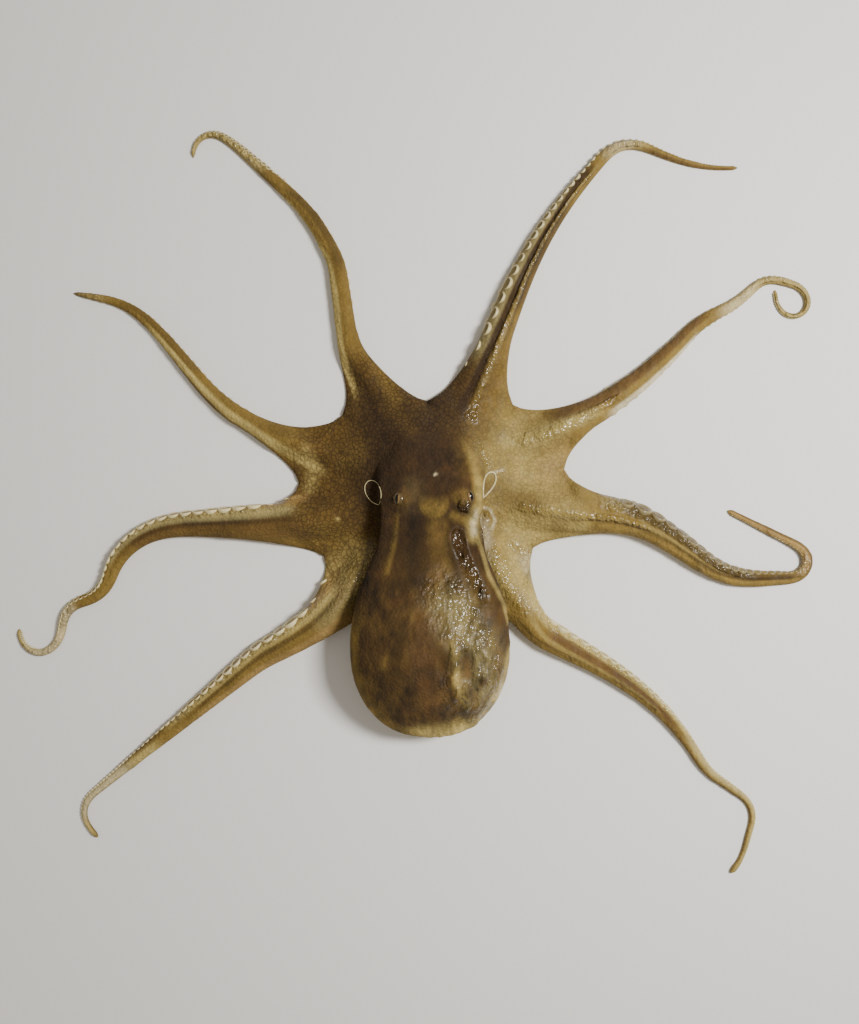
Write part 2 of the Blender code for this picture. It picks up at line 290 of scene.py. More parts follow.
class Arm:
    """One arm: its centre line, its girth, and the web on its left."""

    def __init__(self, root_deg, length, girth, taper, web_left, flare_left, flare_right, bends):
        """A bend is (share of the length, turn in degrees to the left, share that it takes).

        The width falls towards the tip as the length that is left, to the power of the taper.
        """
        self.length = length
        self.girth = girth
        self.taper = taper
        self.web_left = web_left
        self.flare = {1: flare_left, -1: flare_right}
        self.samples = np.linspace(0.0, length, SPINE_SAMPLES)
        heading = np.full(SPINE_SAMPLES, float(root_deg))
        for place, turn, over in bends:
            heading += turn * smoothstep((self.samples / length - place) / over + 0.5)
        self.heading = np.radians(heading)
        direction = np.column_stack([np.cos(self.heading), np.sin(self.heading)])
        steps = (direction[1:] + direction[:-1]) / 2 * self.samples[1]
        self.line = np.vstack([np.zeros(2), np.cumsum(steps, axis=0)])

    def centre(self, reach):
        """Points of the centre line at distances from the mouth."""
        return np.column_stack([np.interp(reach, self.samples, axis) for axis in self.line.T])

    def forward(self, reach):
        """Directions in which the arm runs, at distances from the mouth."""
        heading = np.interp(reach, self.samples, self.heading)
        return np.column_stack([np.cos(heading), np.sin(heading)])

    def half_width(self, reach):
        left = 1.0 - np.clip(reach / self.length, 0.0, 1.0)
        return self.girth * (TIP_HALF + (ROOT_HALF - TIP_HALF) * left**self.taper)

    def height(self, reach):
        """Height of the free arm over the ground, lower towards the mouth."""
        out = ramp(reach, BASE_REACH, WEB_REACH)
        return ARM_ROUND * self.half_width(reach) * (ROOT_SUNK + (1.0 - ROOT_SUNK) * out)

    def rings(self):
        """Distances of the rings from the mouth: even in the web, then closer to the tip."""
        web = np.arange(BASE_REACH, WEB_REACH + WEB_PITCH / 2, WEB_PITCH)
        left = 1.0 - np.linspace(0.0, 1.0, FREE_RINGS + 1)[1:]
        free = self.length - (self.length - WEB_REACH) * left**FREE_CROWDING
        return np.concatenate([web, free])


# anticlockwise from the second arm on the right
ARMS = (
    Arm(22, 136, 0.97, 1.6, 32.5, 20, 9,
        ((0.41, 26, 0.48), (0.69, 49, 0.26), (0.63, -43, 0.12), (0.78, -68, 0.08), (0.91, -252, 0.18))),
    Arm(61.5, 138, 0.9, 1.3, 25, 16, 13,
        ((0.11, 7, 0.28), (0.55, -22, 0.44), (0.77, -69, 0.12), (0.93, 27, 0.2))),
    Arm(122, 124, 0.52, 0.65, 32.5, 17, 24,
        ((0.34, -24, 0.12), (0.53, 20, 0.08), (0.65, 20, 0.18), (0.89, 16, 0.12), (0.95, 117, 0.12))),
    Arm(165, 113, 0.54, 0.65, 37.5, 15, 21,
        ((0.36, -14, 0.2), (0.6, -50, 0.32), (0.66, 33, 0.26), (0.86, 35, 0.18))),
    Arm(199, 134, 1.1, 1.35, 37.5, 28, 7,
        ((0.23, -17, 0.08), (0.67, 113, 0.4), (0.74, -83, 0.1), (0.82, 52, 0.08), (0.94, -197, 0.2))),
    Arm(233.5, 139, 1.1, 1.35, 32.5, 26, 15,
        ((0.33, -26, 0.3), (0.48, 12, 0.08), (0.94, 91, 0.1))),
    Arm(305.5, 144, 1.1, 1.7, 35, 10, 14,
        ((0.34, 26, 0.08), (0.67, -46, 0.54), (0.76, 33, 0.08), (0.87, -64, 0.08), (1.02, -95, 0.18))),
    Arm(344.5, 135, 1.25, 1.5, 37.5, 9, 23,
        ((0.15, 9, 0.18), (0.42, -29, 0.2), (0.63, 37, 0.16), (0.8, 152, 0.12))),
)

# suckers of each arm, in the order of the arms: (side on which they show: 1 left and -1 right,
# reach of the first, spacing over the arm's half width, degrees that they face further outwards,
# depth to which they are sunk over the half width, how pale their rims are,
# (reach, degrees from the top to the upper row))
SUCKERS = (
    (1, 42, 1.1, 0, 0.1, 0.5, ((36, 142), (104, 142), (110, 96), (136, 90))),
    (1, 33, 1.2, 10, 0.2, 0.7,
     ((30, 92), (38, 74), (44, 62), (62, 56), (80, 58), (95, 70), (104, 112), (138, 118))),
    (-1, 46, 1.1, 0, 0.1, 0.8, ((45, 142), (90, 142), (97, 60), (110, 40), (124, 70))),
    (-1, 46, 1.1, 0, 0.1, 0.6, ((45, 142), (113, 142))),
    (-1, 40, 0.96, 6, 0.16, 1, ((36, 92), (43, 86), (50, 78), (75, 70), (90, 70), (108, 50), (134, 46))),
    (-1, 41, 0.98, 6, 0.16, 1, ((38, 92), (45, 86), (52, 76), (75, 66), (90, 72), (100, 84), (139, 108))),
    (1, 42, 0.98, 6, 0.14, 1, ((38, 90), (46, 84), (60, 76), (85, 70), (100, 74), (144, 84))),
    (1, 42, 1, 6, 0.2, 0.15, ((36, 92), (42, 80), (50, 64), (84, 60), (92, 66), (104, 76), (135, 82))),
)

# colours along the arms, in the order of the arms: (colour, strength, half width over the arm's,
# (reach, place across: 1 at the side of the suckers, -1 at the other))
COATS = (
    (
        ("tan", 0.9, 1.2, ((44, 0.2), (90, 0.2))),
        ("rust", 0.75, 0.52, ((36, 0.95), (54, 0.62), (88, 0.48))),
        # partly paler skin, partly a painted highlight along the arm's wet line of glints
        ("bone", 0.5, 0.4, ((30, 0.1), (40, 0.1), (50, -0.2))),
        ("cream", 1, 0.26, ((50, -0.85), (60, -0.8), (70, -0.84), (82, -0.95))),
        ("bone", 0.8, 1.2, ((92, -0.5), (104, -0.1), (138, 0))),
        ("cream", 0.45, 0.9, ((90, -0.3), (104, 0))),
        ("rust", 0.35, 0.5, ((104, -0.9), (120, -0.8), (138, -0.8))),
    ),
    (
        ("olive", 0.5, 1.2, ((28, 0), (96, 0))),
        ("tan", 0.5, 0.5, ((40, -0.7), (96, -0.8))),
        ("ash", 0.75, 0.42, ((34, 0.75), (60, 0.52), (80, 0.6), (88, 0.7))),
        ("umber", 0.95, 0.26, ((18, 0.35), (45, 0.1), (60, -0.02), (78, -0.05), (88, 0.25), (96, 0.3))),
        ("umber", 0.6, 0.6, ((50, -0.4), (64, -0.5), (84, -0.6))),
        # partly paler skin, partly a painted highlight along the arm's wet line of glints
        ("bone", 0.25, 0.14, ((22, -0.2), (50, -0.38), (96, -0.3))),
        ("umber", 0.3, 0.16, ((40, -0.62), (80, -0.6))),
        ("umber", 0.8, 0.4, ((87, 0.5), (94, 0.45))),
        ("bone", 0.6, 1.1, ((99, 0.1), (108, 0.1), (114, 0.2))),
        ("cream", 0.35, 1.1, ((100, 0.1), (110, 0.1))),
        ("tan", 0.5, 1.2, ((114, 0), (140, 0))),
        ("rust", 0.6, 0.5, ((110, -0.75), (138, -0.7))),
    ),
    (
        ("tan", 0.65, 1.4, ((38, 0), (96, 0))),
        ("umber", 0.5, 0.5, ((62, 0.25), (72, 0.5), (84, 0.45), (92, 0.2))),
        ("bone", 1, 0.36, ((32, -1.7), (40, -1.1), (48, -0.74), (58, -0.68), (66, -0.9), (72, -1.05))),
        ("bone", 0.7, 0.16, ((64, -0.9), (76, -0.98), (94, -0.98))),
        ("tan", 0.7, 1, ((88, -0.4), (98, -0.3))),
        ("bone", 0.9, 1.2, ((97, 0.1), (106, 0.1), (126, 0))),
    ),
    (
        ("tan", 0.7, 1.6, ((36, 0), (110, 0))),
        ("umber", 0.35, 0.5, ((40, 0.6), (48, 0.6))),
        ("umber", 0.35, 0.7, ((70, 0.6), (84, 0.45), (98, 0.5))),
        ("tan", 0.6, 0.6, ((82, -0.6), (98, -0.5))),
        ("bone", 0.9, 0.46, ((30, -1.6), (40, -0.9), (52, -0.45), (66, -0.24), (78, -0.5), (90, -0.7))),
        ("rust", 0.45, 0.2, ((44, -1.15), (60, -0.95), (84, -1))),
        ("bone", 0.4, 1.2, ((103, 0), (114, 0))),
    ),
    (
        ("tan", 0.55, 1.2, ((34, -0.4), (98, -0.4))),
        ("tan", 0.5, 0.25, ((32, -0.8), (60, -0.85), (96, -0.8))),
        ("rust", 0.5, 0.6, ((34, -0.5), (60, -0.45), (84, -0.55))),
        ("umber", 0.6, 0.34, ((36, 0.26), (50, 0.14), (74, 0.04), (84, -0.1))),
        ("umber", 0.45, 0.3, ((50, 0.3), (66, 0.22))),
        ("plum", 0.35, 0.22, ((44, 0.2), (70, 0.12))),
        ("ash", 0.9, 0.32, ((38, 0.65), (50, 0.5), (78, 0.46), (94, 0.5))),
        ("bone", 0.5, 0.22, ((38, 0.75), (50, 0.6), (78, 0.56), (94, 0.6))),
        ("rose", 0.8, 0.22, ((34, 1.15), (44, 1), (96, 0.95))),
        ("tan", 0.85, 1.2, ((90, 0.1), (110, 0))),
        ("bone", 1, 1.2, ((108, 0.1), (122, 0.1), (136, 0))),
        ("cream", 0.55, 1.1, ((107, 0.2), (128, 0.1))),
    ),
    (
        ("tan", 0.7, 1.2, ((36, -0.3), (100, -0.3))),
        ("ash", 0.5, 0.7, ((34, 0.2), (50, 0))),
        ("rose", 0.7, 0.36, ((40, -0.95), (100, -0.85))),
        ("umber", 0.5, 0.2, ((40, 0.42), (50, 0.14), (80, 0.05), (96, -0.1))),
        ("tan", 0.8, 1.2, ((88, 0), (106, 0))),
        ("bone", 0.8, 0.28, ((38, 0.8), (48, 0.6), (62, 0.58), (76, 0.5), (98, 0.5))),
        ("rose", 0.8, 0.22, ((36, 1.1), (46, 1), (96, 0.95))),
        ("bone", 1, 0.9, ((102, -0.5), (110, -0.1), (140, 0.2))),
        ("cream", 0.6, 1, ((112, 0.1), (134, 0.1))),
        ("rust", 0.4, 0.4, ((100, 0.6), (116, 0.8))),
    ),
    (
        ("tan", 0.8, 1.2, ((46, -0.2), (100, -0.2))),
        ("bone", 1, 0.4, ((30, 0.9), (60, 0.8), (100, 0.72))),
        ("rust", 0.8, 0.34, ((50, 0.28), (60, 0.14), (76, 0), (94, -0.05))),
        ("tan", 0.6, 0.5, ((38, -0.8), (50, -0.7), (62, -0.7))),
        ("bone", 0.3, 0.16, ((40, 0.35), (52, -0.25), (64, -0.4), (90, -0.3))),
        ("rust", 0.3, 0.6, ((88, -0.2), (104, -0.6), (140, -0.7))),
        ("bone", 0.75, 0.8, ((98, 0.4), (146, 0.3))),
        ("cream", 0.2, 0.4, ((98, 0.6), (126, 0.6))),
    ),
    (
        ("tan", 0.6, 1.2, ((44, 0), (104, 0))),
        ("ash", 0.5, 0.5, ((44, 0.9), (60, 0.6), (92, 0.6))),
        ("umber", 0.7, 0.4, ((50, 0.55), (70, 0.5), (90, 0.3), (104, 0.2))),
        # partly paler skin, partly a painted highlight along the arm's wet line of glints
        ("bone", 0.3, 0.14, ((28, -0.2), (50, -0.28), (84, -0.18))),
        ("umber", 0.65, 0.22, ((44, -0.74), (56, -0.62), (68, -0.42), (82, -0.28), (92, 0), (104, 0.2))),
        ("tan", 0.9, 0.42, ((44, -1), (60, -0.85), (86, -0.8), (98, -0.8))),
        ("rose", 0.8, 0.8, ((104, 0.3), (138, 0.4))),
        ("rust", 0.6, 0.4, ((106, -0.7), (138, -0.7))),
    ),
)

# wet lines along the arms, laid out as the coats are: (strength, half width, line)
SHINES = (
    ((1, 0.26, ((22, 0.4), (40, 0.2), (56, -0.1))), (0.6, 0.7, ((96, 0.2), (136, 0)))),
    ((1, 0.24, ((18, -0.1), (36, -0.2), (48, -0.4), (96, -0.32))), (1, 0.7, ((99, 0.1), (112, 0.1)))),
    ((0.7, 0.8, ((97, 0), (124, 0))),),
    ((0.6, 0.8, ((103, 0), (113, 0))),),
    ((0.9, 0.25, ((36, 0.9), (90, 0.6))), (1, 1, ((107, 0), (115, 0))), (0.5, 1, ((116, 0), (134, 0)))),
    ((0.9, 0.25, ((38, 0.9), (96, 0.5))), (1, 0.6, ((22, 0.1), (36, 0.2)))),
    ((1, 0.5, ((22, 0.3), (44, 0.2))), (0.9, 0.3, ((40, 0.8), (96, 0.7)))),
    (
        (1, 0.2, ((22, -0.1), (40, -0.3), (60, -0.2))),
        (1, 0.45, ((44, 0.6), (78, 0.5), (92, 0.5))),
        (0.9, 0.7, ((103, 0.2), (112, 0.2))),
    ),
)

# furrows and ridges along the arms, laid out as the coats are: (height over the half width of the
# arm, half width, line)
FURROWS = (
    ((0.05, 0.3, ((46, -0.75), (90, -0.85))),),
    (
        (-0.08, 0.22, ((25, 0.3), (60, 0), (96, 0.2))),
        (0.06, 0.14, ((22, -0.22), (50, -0.38), (96, -0.32))),
    ),
    ((0.05, 0.25, ((40, -1.1), (86, -0.9))),),
    ((0.06, 0.3, ((40, -0.9), (66, -0.38), (90, -0.75))), (-0.06, 0.2, ((52, 0), (96, 0)))),
    ((-0.09, 0.2, ((36, 0.22), (50, 0.1), (74, 0.02), (98, 0))),),
    ((-0.08, 0.18, ((36, 0.42), (50, 0.14), (80, 0.05), (96, -0.1))),),
    ((-0.07, 0.16, ((42, -0.8), (60, -0.72), (90, -0.66))), (0.05, 0.18, ((44, -0.3), (90, -0.25)))),
    (
        (-0.07, 0.2, ((44, -0.58), (62, -0.48), (88, -0.32), (108, -0.2))),
        (0.05, 0.12, ((28, -0.25), (84, -0.18))),
    ),
)
BAND_SIDES = (1.45, 0.55)  # half widths from a band's line at which it starts and is full
BAND_PAST = 2.0  # a band runs on past its line's ends by this much, and fades over the next length
BAND_FADE = 6.0

# colours of the web, the skin's own marks and some painted light, seen from above: (colour, strength, half
# width, share of it that fades, line)
WEB_STAINS_AND_PAINTED_LIGHT = (
    ("umber", 0.9, 14, 1, ((-15, -3), (-14, 4), (-13, 12), (-14, 19))),
    ("umber", 0.8, 12, 1, ((-4, 10), (4, 10))),
    ("plum", 0.6, 12, 1, ((-3, 14), (4, 20))),
    ("umber", 0.55, 6, 1, ((3, 20), (9, 27))),
    ("tan", 0.45, 3.6, 1, ((-10, 22), (-13, 28), (-16, 34))),
    ("rust", 0.45, 3.6, 1, ((9, 26), (11, 33))),
    ("olive", 0.55, 4, 1, ((-12, 20), (-6, 14))),
    ("tan", 0.35, 5, 1, ((-20, 8), (-22, 6))),
    ("bone", 0.5, 3, 1, ((-34, 8.5), (-31.5, 4), (-33, -1.5))),
    ("bone", 0.8, 0.8, 0.6, ((-25, -10),)),
    ("tan", 0.55, 6, 1, ((-30, -14), (-22, -16))),
    # partly the web's own pale grey, partly painted light that lightens the patch where the sac's shadow
    # falls
    ("bone", 0.6, 10, 0.8, ((-26, -27), (-19, -23), (-21, -33))),
    ("olive", 0.5, 7, 1, ((13, 24), (14, 14))),
    ("olive", 0.6, 7, 1, ((15, 14), (19, 9))),
    ("rose", 0.75, 8, 1, ((33, 6), (31, 1))),
    ("bone", 0.65, 18, 1, ((24, 8), (20, 2), (28, -6))),
    ("olive", 0.6, 6, 1, ((18, -3), (27, -6))),
    ("tan", 0.4, 6, 1, ((19, 8), (19, 2))),
    ("bone", 0.6, 4, 0.8, ((22, -11.5), (40, -13))),
    ("olive", 0.6, 0.8, 1, ((24, -12.6), (42, -13.6))),
    ("bone", 0.8, 9, 1, ((23, -16), (20, -26))),
    ("cream", 0.5, 5, 1, ((25, -22), (26, -30))),
    ("cream", 0.55, 3.5, 1, ((13, -11), (14, -16))),
    # partly paler skin, partly painted sheen: a pale band along the wet ridge at the root of the arm on the
    # right
    ("bone", 0.8, 3.2, 0.9, ((21, 10.8), (28, 12.4), (36, 15.4), (42, 18.4))),
    # painted highlight: cream lines along the wet edge of the fold by the funnel
    ("cream", 0.8, 0.6, 1, ((12.8, -6.6), (15.2, -7.4), (16.8, -10.2), (16, -12.6))),
    # painted highlight: a small cream glint beside the right eyespot ring
    ("cream", 0.7, 0.6, 1, ((16.4, 2.2), (18.8, 3.2))),
    ("ash", 0.5, 3, 1, ((15, -20), (16, -28))),
    ("umber", 0.6, 5.5, 0.8, ((-15.6, -2.6),)),
    ("olive", 0.5, 3, 1, ((14.6, -1.2),)),
)

# colours of the head and the sac, the skin's own marks and a painted reflection, laid out as those of the
# web are
BODY_STAINS_AND_PAINTED_LIGHT = (
    ("plum", 0.55, 10, 1, ((-2, 13), (1, 4))),
    ("olive", 0.45, 5, 1, ((8, 11), (9, 3))),
    ("ash", 0.1, 4.6, 1, ((-5, -1.6), (-4.4, -6.4))),
    ("olive", 0.6, 3.2, 1, ((-7.6, -5),)),
    ("tan", 0.7, 3.4, 0.9, ((7.6, -4.2),)),
    ("rust", 0.35, 2, 1, ((8, -4.4),)),
    ("tan", 0.6, 2.2, 1, ((5.6, -9), (9.2, -10.4))),
    ("tan", 0.8, 2.8, 0.8, RIDGE_LINE),
    ("bone", 0.4, 2.2, 1, RIDGE_LINE),
    ("bone", 0.7, 2.8, 1, ((11.6, -8), (10.4, -11), (10.8, -14.5))),
    ("cream", 0.5, 1.4, 1, ((11.4, -9), (10.4, -11.4), (10.8, -13.6))),
    ("cream", 0.95, 0.7, 1, ((0.8, 1.6),)),
    ("shade", 1, 4, 1, ((-4.6, -10), (-5, -26))),
    ("shade", 0.3, 5, 1, ((-8, -38), (-9, -46))),
    ("shade", 0.4, 5, 1, ((-6, -52), (2, -60))),
    ("shade", 0.35, 3, 1, ((-14, -44), (-12, -56), (-4, -62))),
    ("tan", 0.45, 4, 1, ((1.2, -11.8), (1.8, -17.5), (2.8, -23.5))),
    ("rust", 0.35, 2.4, 1, ((1.2, -12.5), (2.2, -24.5))),
    ("tan", 0.4, 1.2, 1, ((-9.2, -9), (-9.6, -15), (-10.8, -20), (-11.6, -23.5))),
    ("bone", 0.55, 0.9, 0.8, NECK_EDGE),
    ("umber", 0.7, 2.2, 0.8, POOL),
    ("olive", 0.35, 26, 1, ((-2, -34), (-2, -56))),
    ("olive", 0.6, 14, 1, ((8, -32), (12, -44), (11, -54))),
    ("ash", 0.65, 9, 1, ((5, -32), (11, -42), (13, -52))),
    # painted reflection: a pale stroke along the wet drip line stands for the sky's silvery reflection on it
    ("bone", 0.4, 1.5, 1, ((5, -41.5), (6, -46.5), (5.8, -50), (7.4, -54), (9, -57.5))),
    ("umber", 0.6, 1.3, 1, ((2.8, -42), (3.4, -47), (3.2, -51))),
    ("umber", 0.5, 1.4, 1, ((8.6, -42), (8.8, -47), (9.6, -53))),
    ("rust", 0.55, 2.2, 0.8, ((8.4, -45), (8.8, -48.5))),
    ("rust", 0.4, 1.8, 1, ((10.4, -53.6), (10.2, -56))),
    ("rust", 0.45, 5, 1, ((-3, -36), (-2, -48), (0, -58))),
    ("tan", 0.3, 1, 1, ((-5.1, -32.6), (-4.9, -35.4))),
    ("olive", 0.35, 3, 1, ((-15, -36), (-13, -38))),
    ("tan", 0.25, 1.6, 1, ((-11.8, -45), (-12.4, -47))),
    ("bone", 0.95, 6.6, 0.9, ((-2, -67.2), (3, -66.8), (9, -64.8))),
    ("rust", 0.5, 4, 1, ((-16, -54), (-12, -61))),
    ("tan", 0.35, 4, 1, ((-17, -52), (-12, -61))),
    ("bone", 0.7, 3.6, 0.9, ((-7, -66), (8, -66.6), (14.6, -60.6), (18.8, -54))),
    ("bone", 0.6, 2.6, 0.8, ((14, -60.6), (18.4, -54), (20.6, -44))),
)

# the pale bar between the eyes: its middle and half sizes, how its sides fade, where it is cut off,
# and the half width of the painted shadow below it
BAR = (0.5, -5.6, 4, 4.2)
BAR_SIDES = (1.07, 0.85)
BAR_CUT = (-3.16, -7.56)
BAR_SHADOW = 6.0
BAR_STRENGTH = 0.6

# outline of the sac from above, whose rim is painted paler on the left, partly its own lighter edge and
# partly painted light: its middle, then its half sizes
SAC_OUTLINE = (-0.6, -44, 20.6, 23.4)
RIM_SHARES = (0.84, 0.96)  # how far out the paler rim starts and is full, over the outline
RIM_PALENESS_AND_PAINTED_LIGHT = 0.8
RUST_STRENGTH = 0.45
UNDERSIDE_PALENESS = 0.8

# wet places of the web, the head and the sac, and dry ones in them:
# (strength, half width, share of it that fades, line)
WET = (
    (0.85, 13, 1, ((4, -30), (8, -38), (11, -44), (9, -54))),
    (0.2, 12, 1, ((-2, -36), (0, -56))),
    (1, 3.6, 1, ((-0.6, -26.5), (1.5, -31), (3.5, -36), (5.5, -41))),
    (1, 5.5, 1, ((8, -34), (13, -40), (16, -46), (15.5, -54), (12, -60))),
    (1, 2.2, 0.6, DRIP_LINE),
    (0.9, 1.4, 0.8, ((0.4, -27.5), (1, -31))),
    (1, 2.6, 0.5, POOL),
    (1, 2.4, 0.6, ((8.4, -6.6),)),
    (0.9, 2.4, 0.8, ((15, -8.5), (14.2, -14.5))),
    (0.6, 1.6, 1, ((11.4, -8), (10.8, -14))),
    (1, 1.5, 0.6, ((11.4, 16), (11.8, 22), (13.4, 27), (16.4, 34), (19.4, 40))),
    (0.9, 2.6, 0.8, ((12.8, 9), (14.4, 4.6))),
    (0.9, 1.2, 0.8, ((16.6, 2.2), (18.8, 3))),
    (0.5, 5, 1, ((19, 12), (26, 12))),
    (0.9, 2, 0.8, ((24, 10.8), (32, 13), (42, 17.5))),
    (0.8, 1.4, 0.8, ((30, -8.4), (42, -9.6))),
    (1, 1.6, 0.7, ((21, -16.4), (26.6, -19.6))),
    (0.7, 2.4, 0.9, ((18.4, -23), (20.2, -29.5))),
    (0.8, 1.2, 0.8, ((26.4, -24), (28.6, -30))),
    (0.7, 2.5, 1, ((-24, -30), (-26, -33))),
    (0.8, 0.9, 0.8, ((-34.6, -7.4),)),
)
DRY = (
    (0.9, 2.2, 0.6, ((8.4, -45), (8.8, -48.8))),
    (0.7, 1.6, 0.8, ((10.6, -53), (10.6, -56))),
    (0.7, 1.8, 0.8, ((2.6, -44), (3, -47))),
)

# places where water or slime fills the grain of the skin, laid out as the wet ones are
SMOOTH = (
    (0.45, 12, 1, ((6, -34), (12, -44), (10, -54))),
    (0.75, 3, 0.6, POOL),
    (0.9, 2.6, 0.6, DRIP_LINE),
)

# how damp, how netted and how grainy the skin is: on the web from left to right, and elsewhere
WEB_DAMP = (0.12, 0.24)
BODY_DAMP = 0.10
WEB_NET = (1.0, 0.6)
HEAD_NET = (0.30, 0.65)  # behind the eyes, and on the crown
WEB_GRAIN = (0.60, 0.40)
BODY_GRAIN = 0.60
WET_GRAIN = 0.40  # what wetness adds, over its range from the first value to the second
WET_GRAIN_RANGE = (0.2, 0.6)
DRIPS_IN_THE_WET = (0.25, 1.0)  # strength of the drips and the wrinkles, on dry skin and on wet
WRINKLES_IN_THE_WET = (0.35, 1.25)
RIPPLE_HALF = 2.6  # half width of the ripples in the pool
UPWARD = 0.3  # the relief is full where the normal rises by this much

# sucker: (distance from its axis, height over the skin, tone from 0 wall to 1 rim, pale with a painted
# highlight, to 2 pit, dark with painted shade), the lengths over its half width
SUCKER_PROFILE = np.array((
    (0, -0.62, 0.6),
    (0.56, -0.58, 0.6),
    (0.84, -0.3, 0.7),
    (0.99, 0, 0.8),
    (1.06, 0.26, 1),
    (1.02, 0.42, 1),
    (0.84, 0.38, 1.1),
    (0.6, 0.18, 1.7),
    (0, 0.06, 2),
))
SUCKER_SIDES = 12
SUCKER_GROWTH = 12.0  # the first suckers of an arm are small, and grow over this reach
SUCKER_SAMPLES = 2000
ROW_APART = np.radians(76.0)
PALE_WALL = 0.4  # how far a pale sucker's wall takes on the colour of its rim

# eyespot rings: (middle, half width, half height, degrees that the point leans, how pointed, thickness)
EYESPOTS = (
    ((-15.4, -3), 2.35, 3.4, 24, 0.35, 0.12),
    ((14.7, -1), 2, 3.6, -22, 1, 0.25),
)
RING_SAMPLES = 120
RING_SIDES = 8
RING_EVENING = 9  # samples over which a ring's height is evened out
RING_RISE = 0.08

# eyes: (x and y of the slit, 1 on the right and -1 on the left, degrees that the slit leans)
EYES = (((-8.9, -4.7), -1, 5), ((9.9, -4.1), 1, -14))
EYE_RADIUS = 1.9
EYE_PROUD = 0.5
EYE_TILT = np.radians(26.0)
EYE_ARC = 1.25  # radians from the middle of the dome to its edge
EYE_RINGS = 40
EYE_SIDES = 72
SLIT_HALF = (0.38, 1.25)
IRIS_HALF = (0.46, 1.1)
IRIS_SHIFT = 0.32  # the iris shows only on the inner side of the slit

# finishes
NET_COLOUR = (0.30, 0.24, 0.22, 1.0)  # what the net, the flecks and the valleys multiply the skin by
NET_CELLS = 0.62  # cells of the net for each granule, along a line
NET_LINE = (0.02, 0.20)  # distances from a border of the net at which it is dark, and gone
GRANULE_EDGE = 0.75  # distance from the middle of a granule to its foot
# painted shade: the skin is darkened in the valleys between the granules
VALLEY = (0.15, 0.75)  # heights of the granules at which a valley is dark, and gone
VALLEY_SHADE_DEPTH = 0.42
WARP_SCALE = 0.4 / MM
WARP = 1.2 * MM  # how far the noise shifts the granules and the net
FLECK_SCALE = 1.6 / MM
FLECK = (0.50, 0.68)  # values of the noise at which a fleck starts, and is full
DRY_ROUGHNESS = 1.0
WET_ROUGHNESS = 0.13
WET_RANGE = (0.1, 0.85)  # where the wet mask starts to bring gloss, and where it is full
SPECULAR = 0.38
SWELL_SCALE = 0.76 / MM
SWELL_STRETCH = (1.0, 0.55, 1.0)
SWELL_HEIGHT = 5.6  # height of the slow swell of wet skin, over that of the granules

# studio
CAMERA_PLACE = (-0.7, -8.1, 255.0)
CAMERA_LENS = 33.1
SENSOR = 36.0
NEAREST_SEEN = 10.0
FLOOR_RADIUS = 1500.0
FLOOR_SIDES = 96
FLOOR_ROUGHNESS = 0.8
KEY_PLACE = (222.0, 50.0, 330.0)
KEY_SIZE = (74.0, 100.0)
KEY_AIM = (0.0, -10.0, 0.0)
KEY_COLOUR = (1.0, 0.98, 0.95)
SKY_COLOUR = (1.0, 0.93, 0.83, 1.0)


def neighbours(index, side):
    """An arm, the one beside it, and the reach at which the web between them ends."""
    arm, beside = ARMS[index], ARMS[(index + side) % len(ARMS)]
    return arm, beside, (arm if side > 0 else beside).web_left


def edge_of(arm, beside, side, notch):
    """Outer line of one half of an arm's skin: the seam to its neighbour, then a free edge.

    The free edge leaves the seam at the notch, where the web ends, and closes on the arm over
    the arm's flare. Also returns the directions in which the rings reach the line.
    """
    reach = arm.rings()
    centre, forward = arm.centre(reach), arm.forward(reach)
    outward = side * np.column_stack([-forward[:, 1], forward[:, 0]])
    chord = beside.centre(reach) - centre
    seam, along_seam = centre + chord / 2, unit(chord)

    end = np.argmin(np.abs(reach - notch))
    web_width = (seam - centre)[end] @ outward[end]
    web_lead = (seam - centre)[end] @ forward[end]
    gone = np.clip((reach - notch) / arm.flare[side], 0.0, 1.0)
    web_left = (1.0 - round_off((1.0 - gone) ** 2))[:, None]
    half = arm.half_width(reach)[:, None]
    free = centre + outward * (half + (web_width - half[end]) * web_left) + forward * web_lead * web_left
    along_free = unit(outward + (along_seam[end] - outward) * web_left)
    joined = reach[:, None] <= notch
    return np.where(joined, seam, free), np.where(joined, along_seam, along_free)


def across_rings(centre, outward, edge, along, u):
    """Points at shares u of the way from the centre line to the edge, square to the line there."""
    span = np.linalg.norm(edge - centre, axis=1)[:, None]
    u = u[:, :, None]
    points = (2 * u**3 - 3 * u**2 + 1) * centre[:, None] + (3 * u**2 - 2 * u**3) * edge[:, None]
    points += (u**3 - 2 * u**2 + u) * (outward * span)[:, None]
    return points + (u**3 - u**2) * (along * span)[:, None]


def ridge_bell(away, half):
    """The share of its height to which an arm stands over the web, at a distance from its centre."""
    return np.clip(1.0 - (away / (RIDGE_SPREAD * half)) ** 2, 0.0, 1.0) ** 2


def ridge(arm, reach, points, thick):
    """How far an arm stands over the web, as a bell across its centre line."""
    away = np.linalg.norm(points - arm.centre(reach)[:, None], axis=2)
    return (arm.height(reach)[:, None] - thick) * ridge_bell(away, arm.half_width(reach)[:, None])


def crown_height(points):
    """Height of the cone of skin round the head, lower behind, where the sac lies on it."""
    reach = np.hypot(points[..., 0], points[..., 1])
    rear = 0.5 - 0.5 * points[..., 1] / reach
    peak = CROWN_FRONT + (CROWN_REAR - CROWN_FRONT) * rear
    return peak * (1.0 - ramp(reach, CROWN_TOP_REACH, CROWN_REACH))


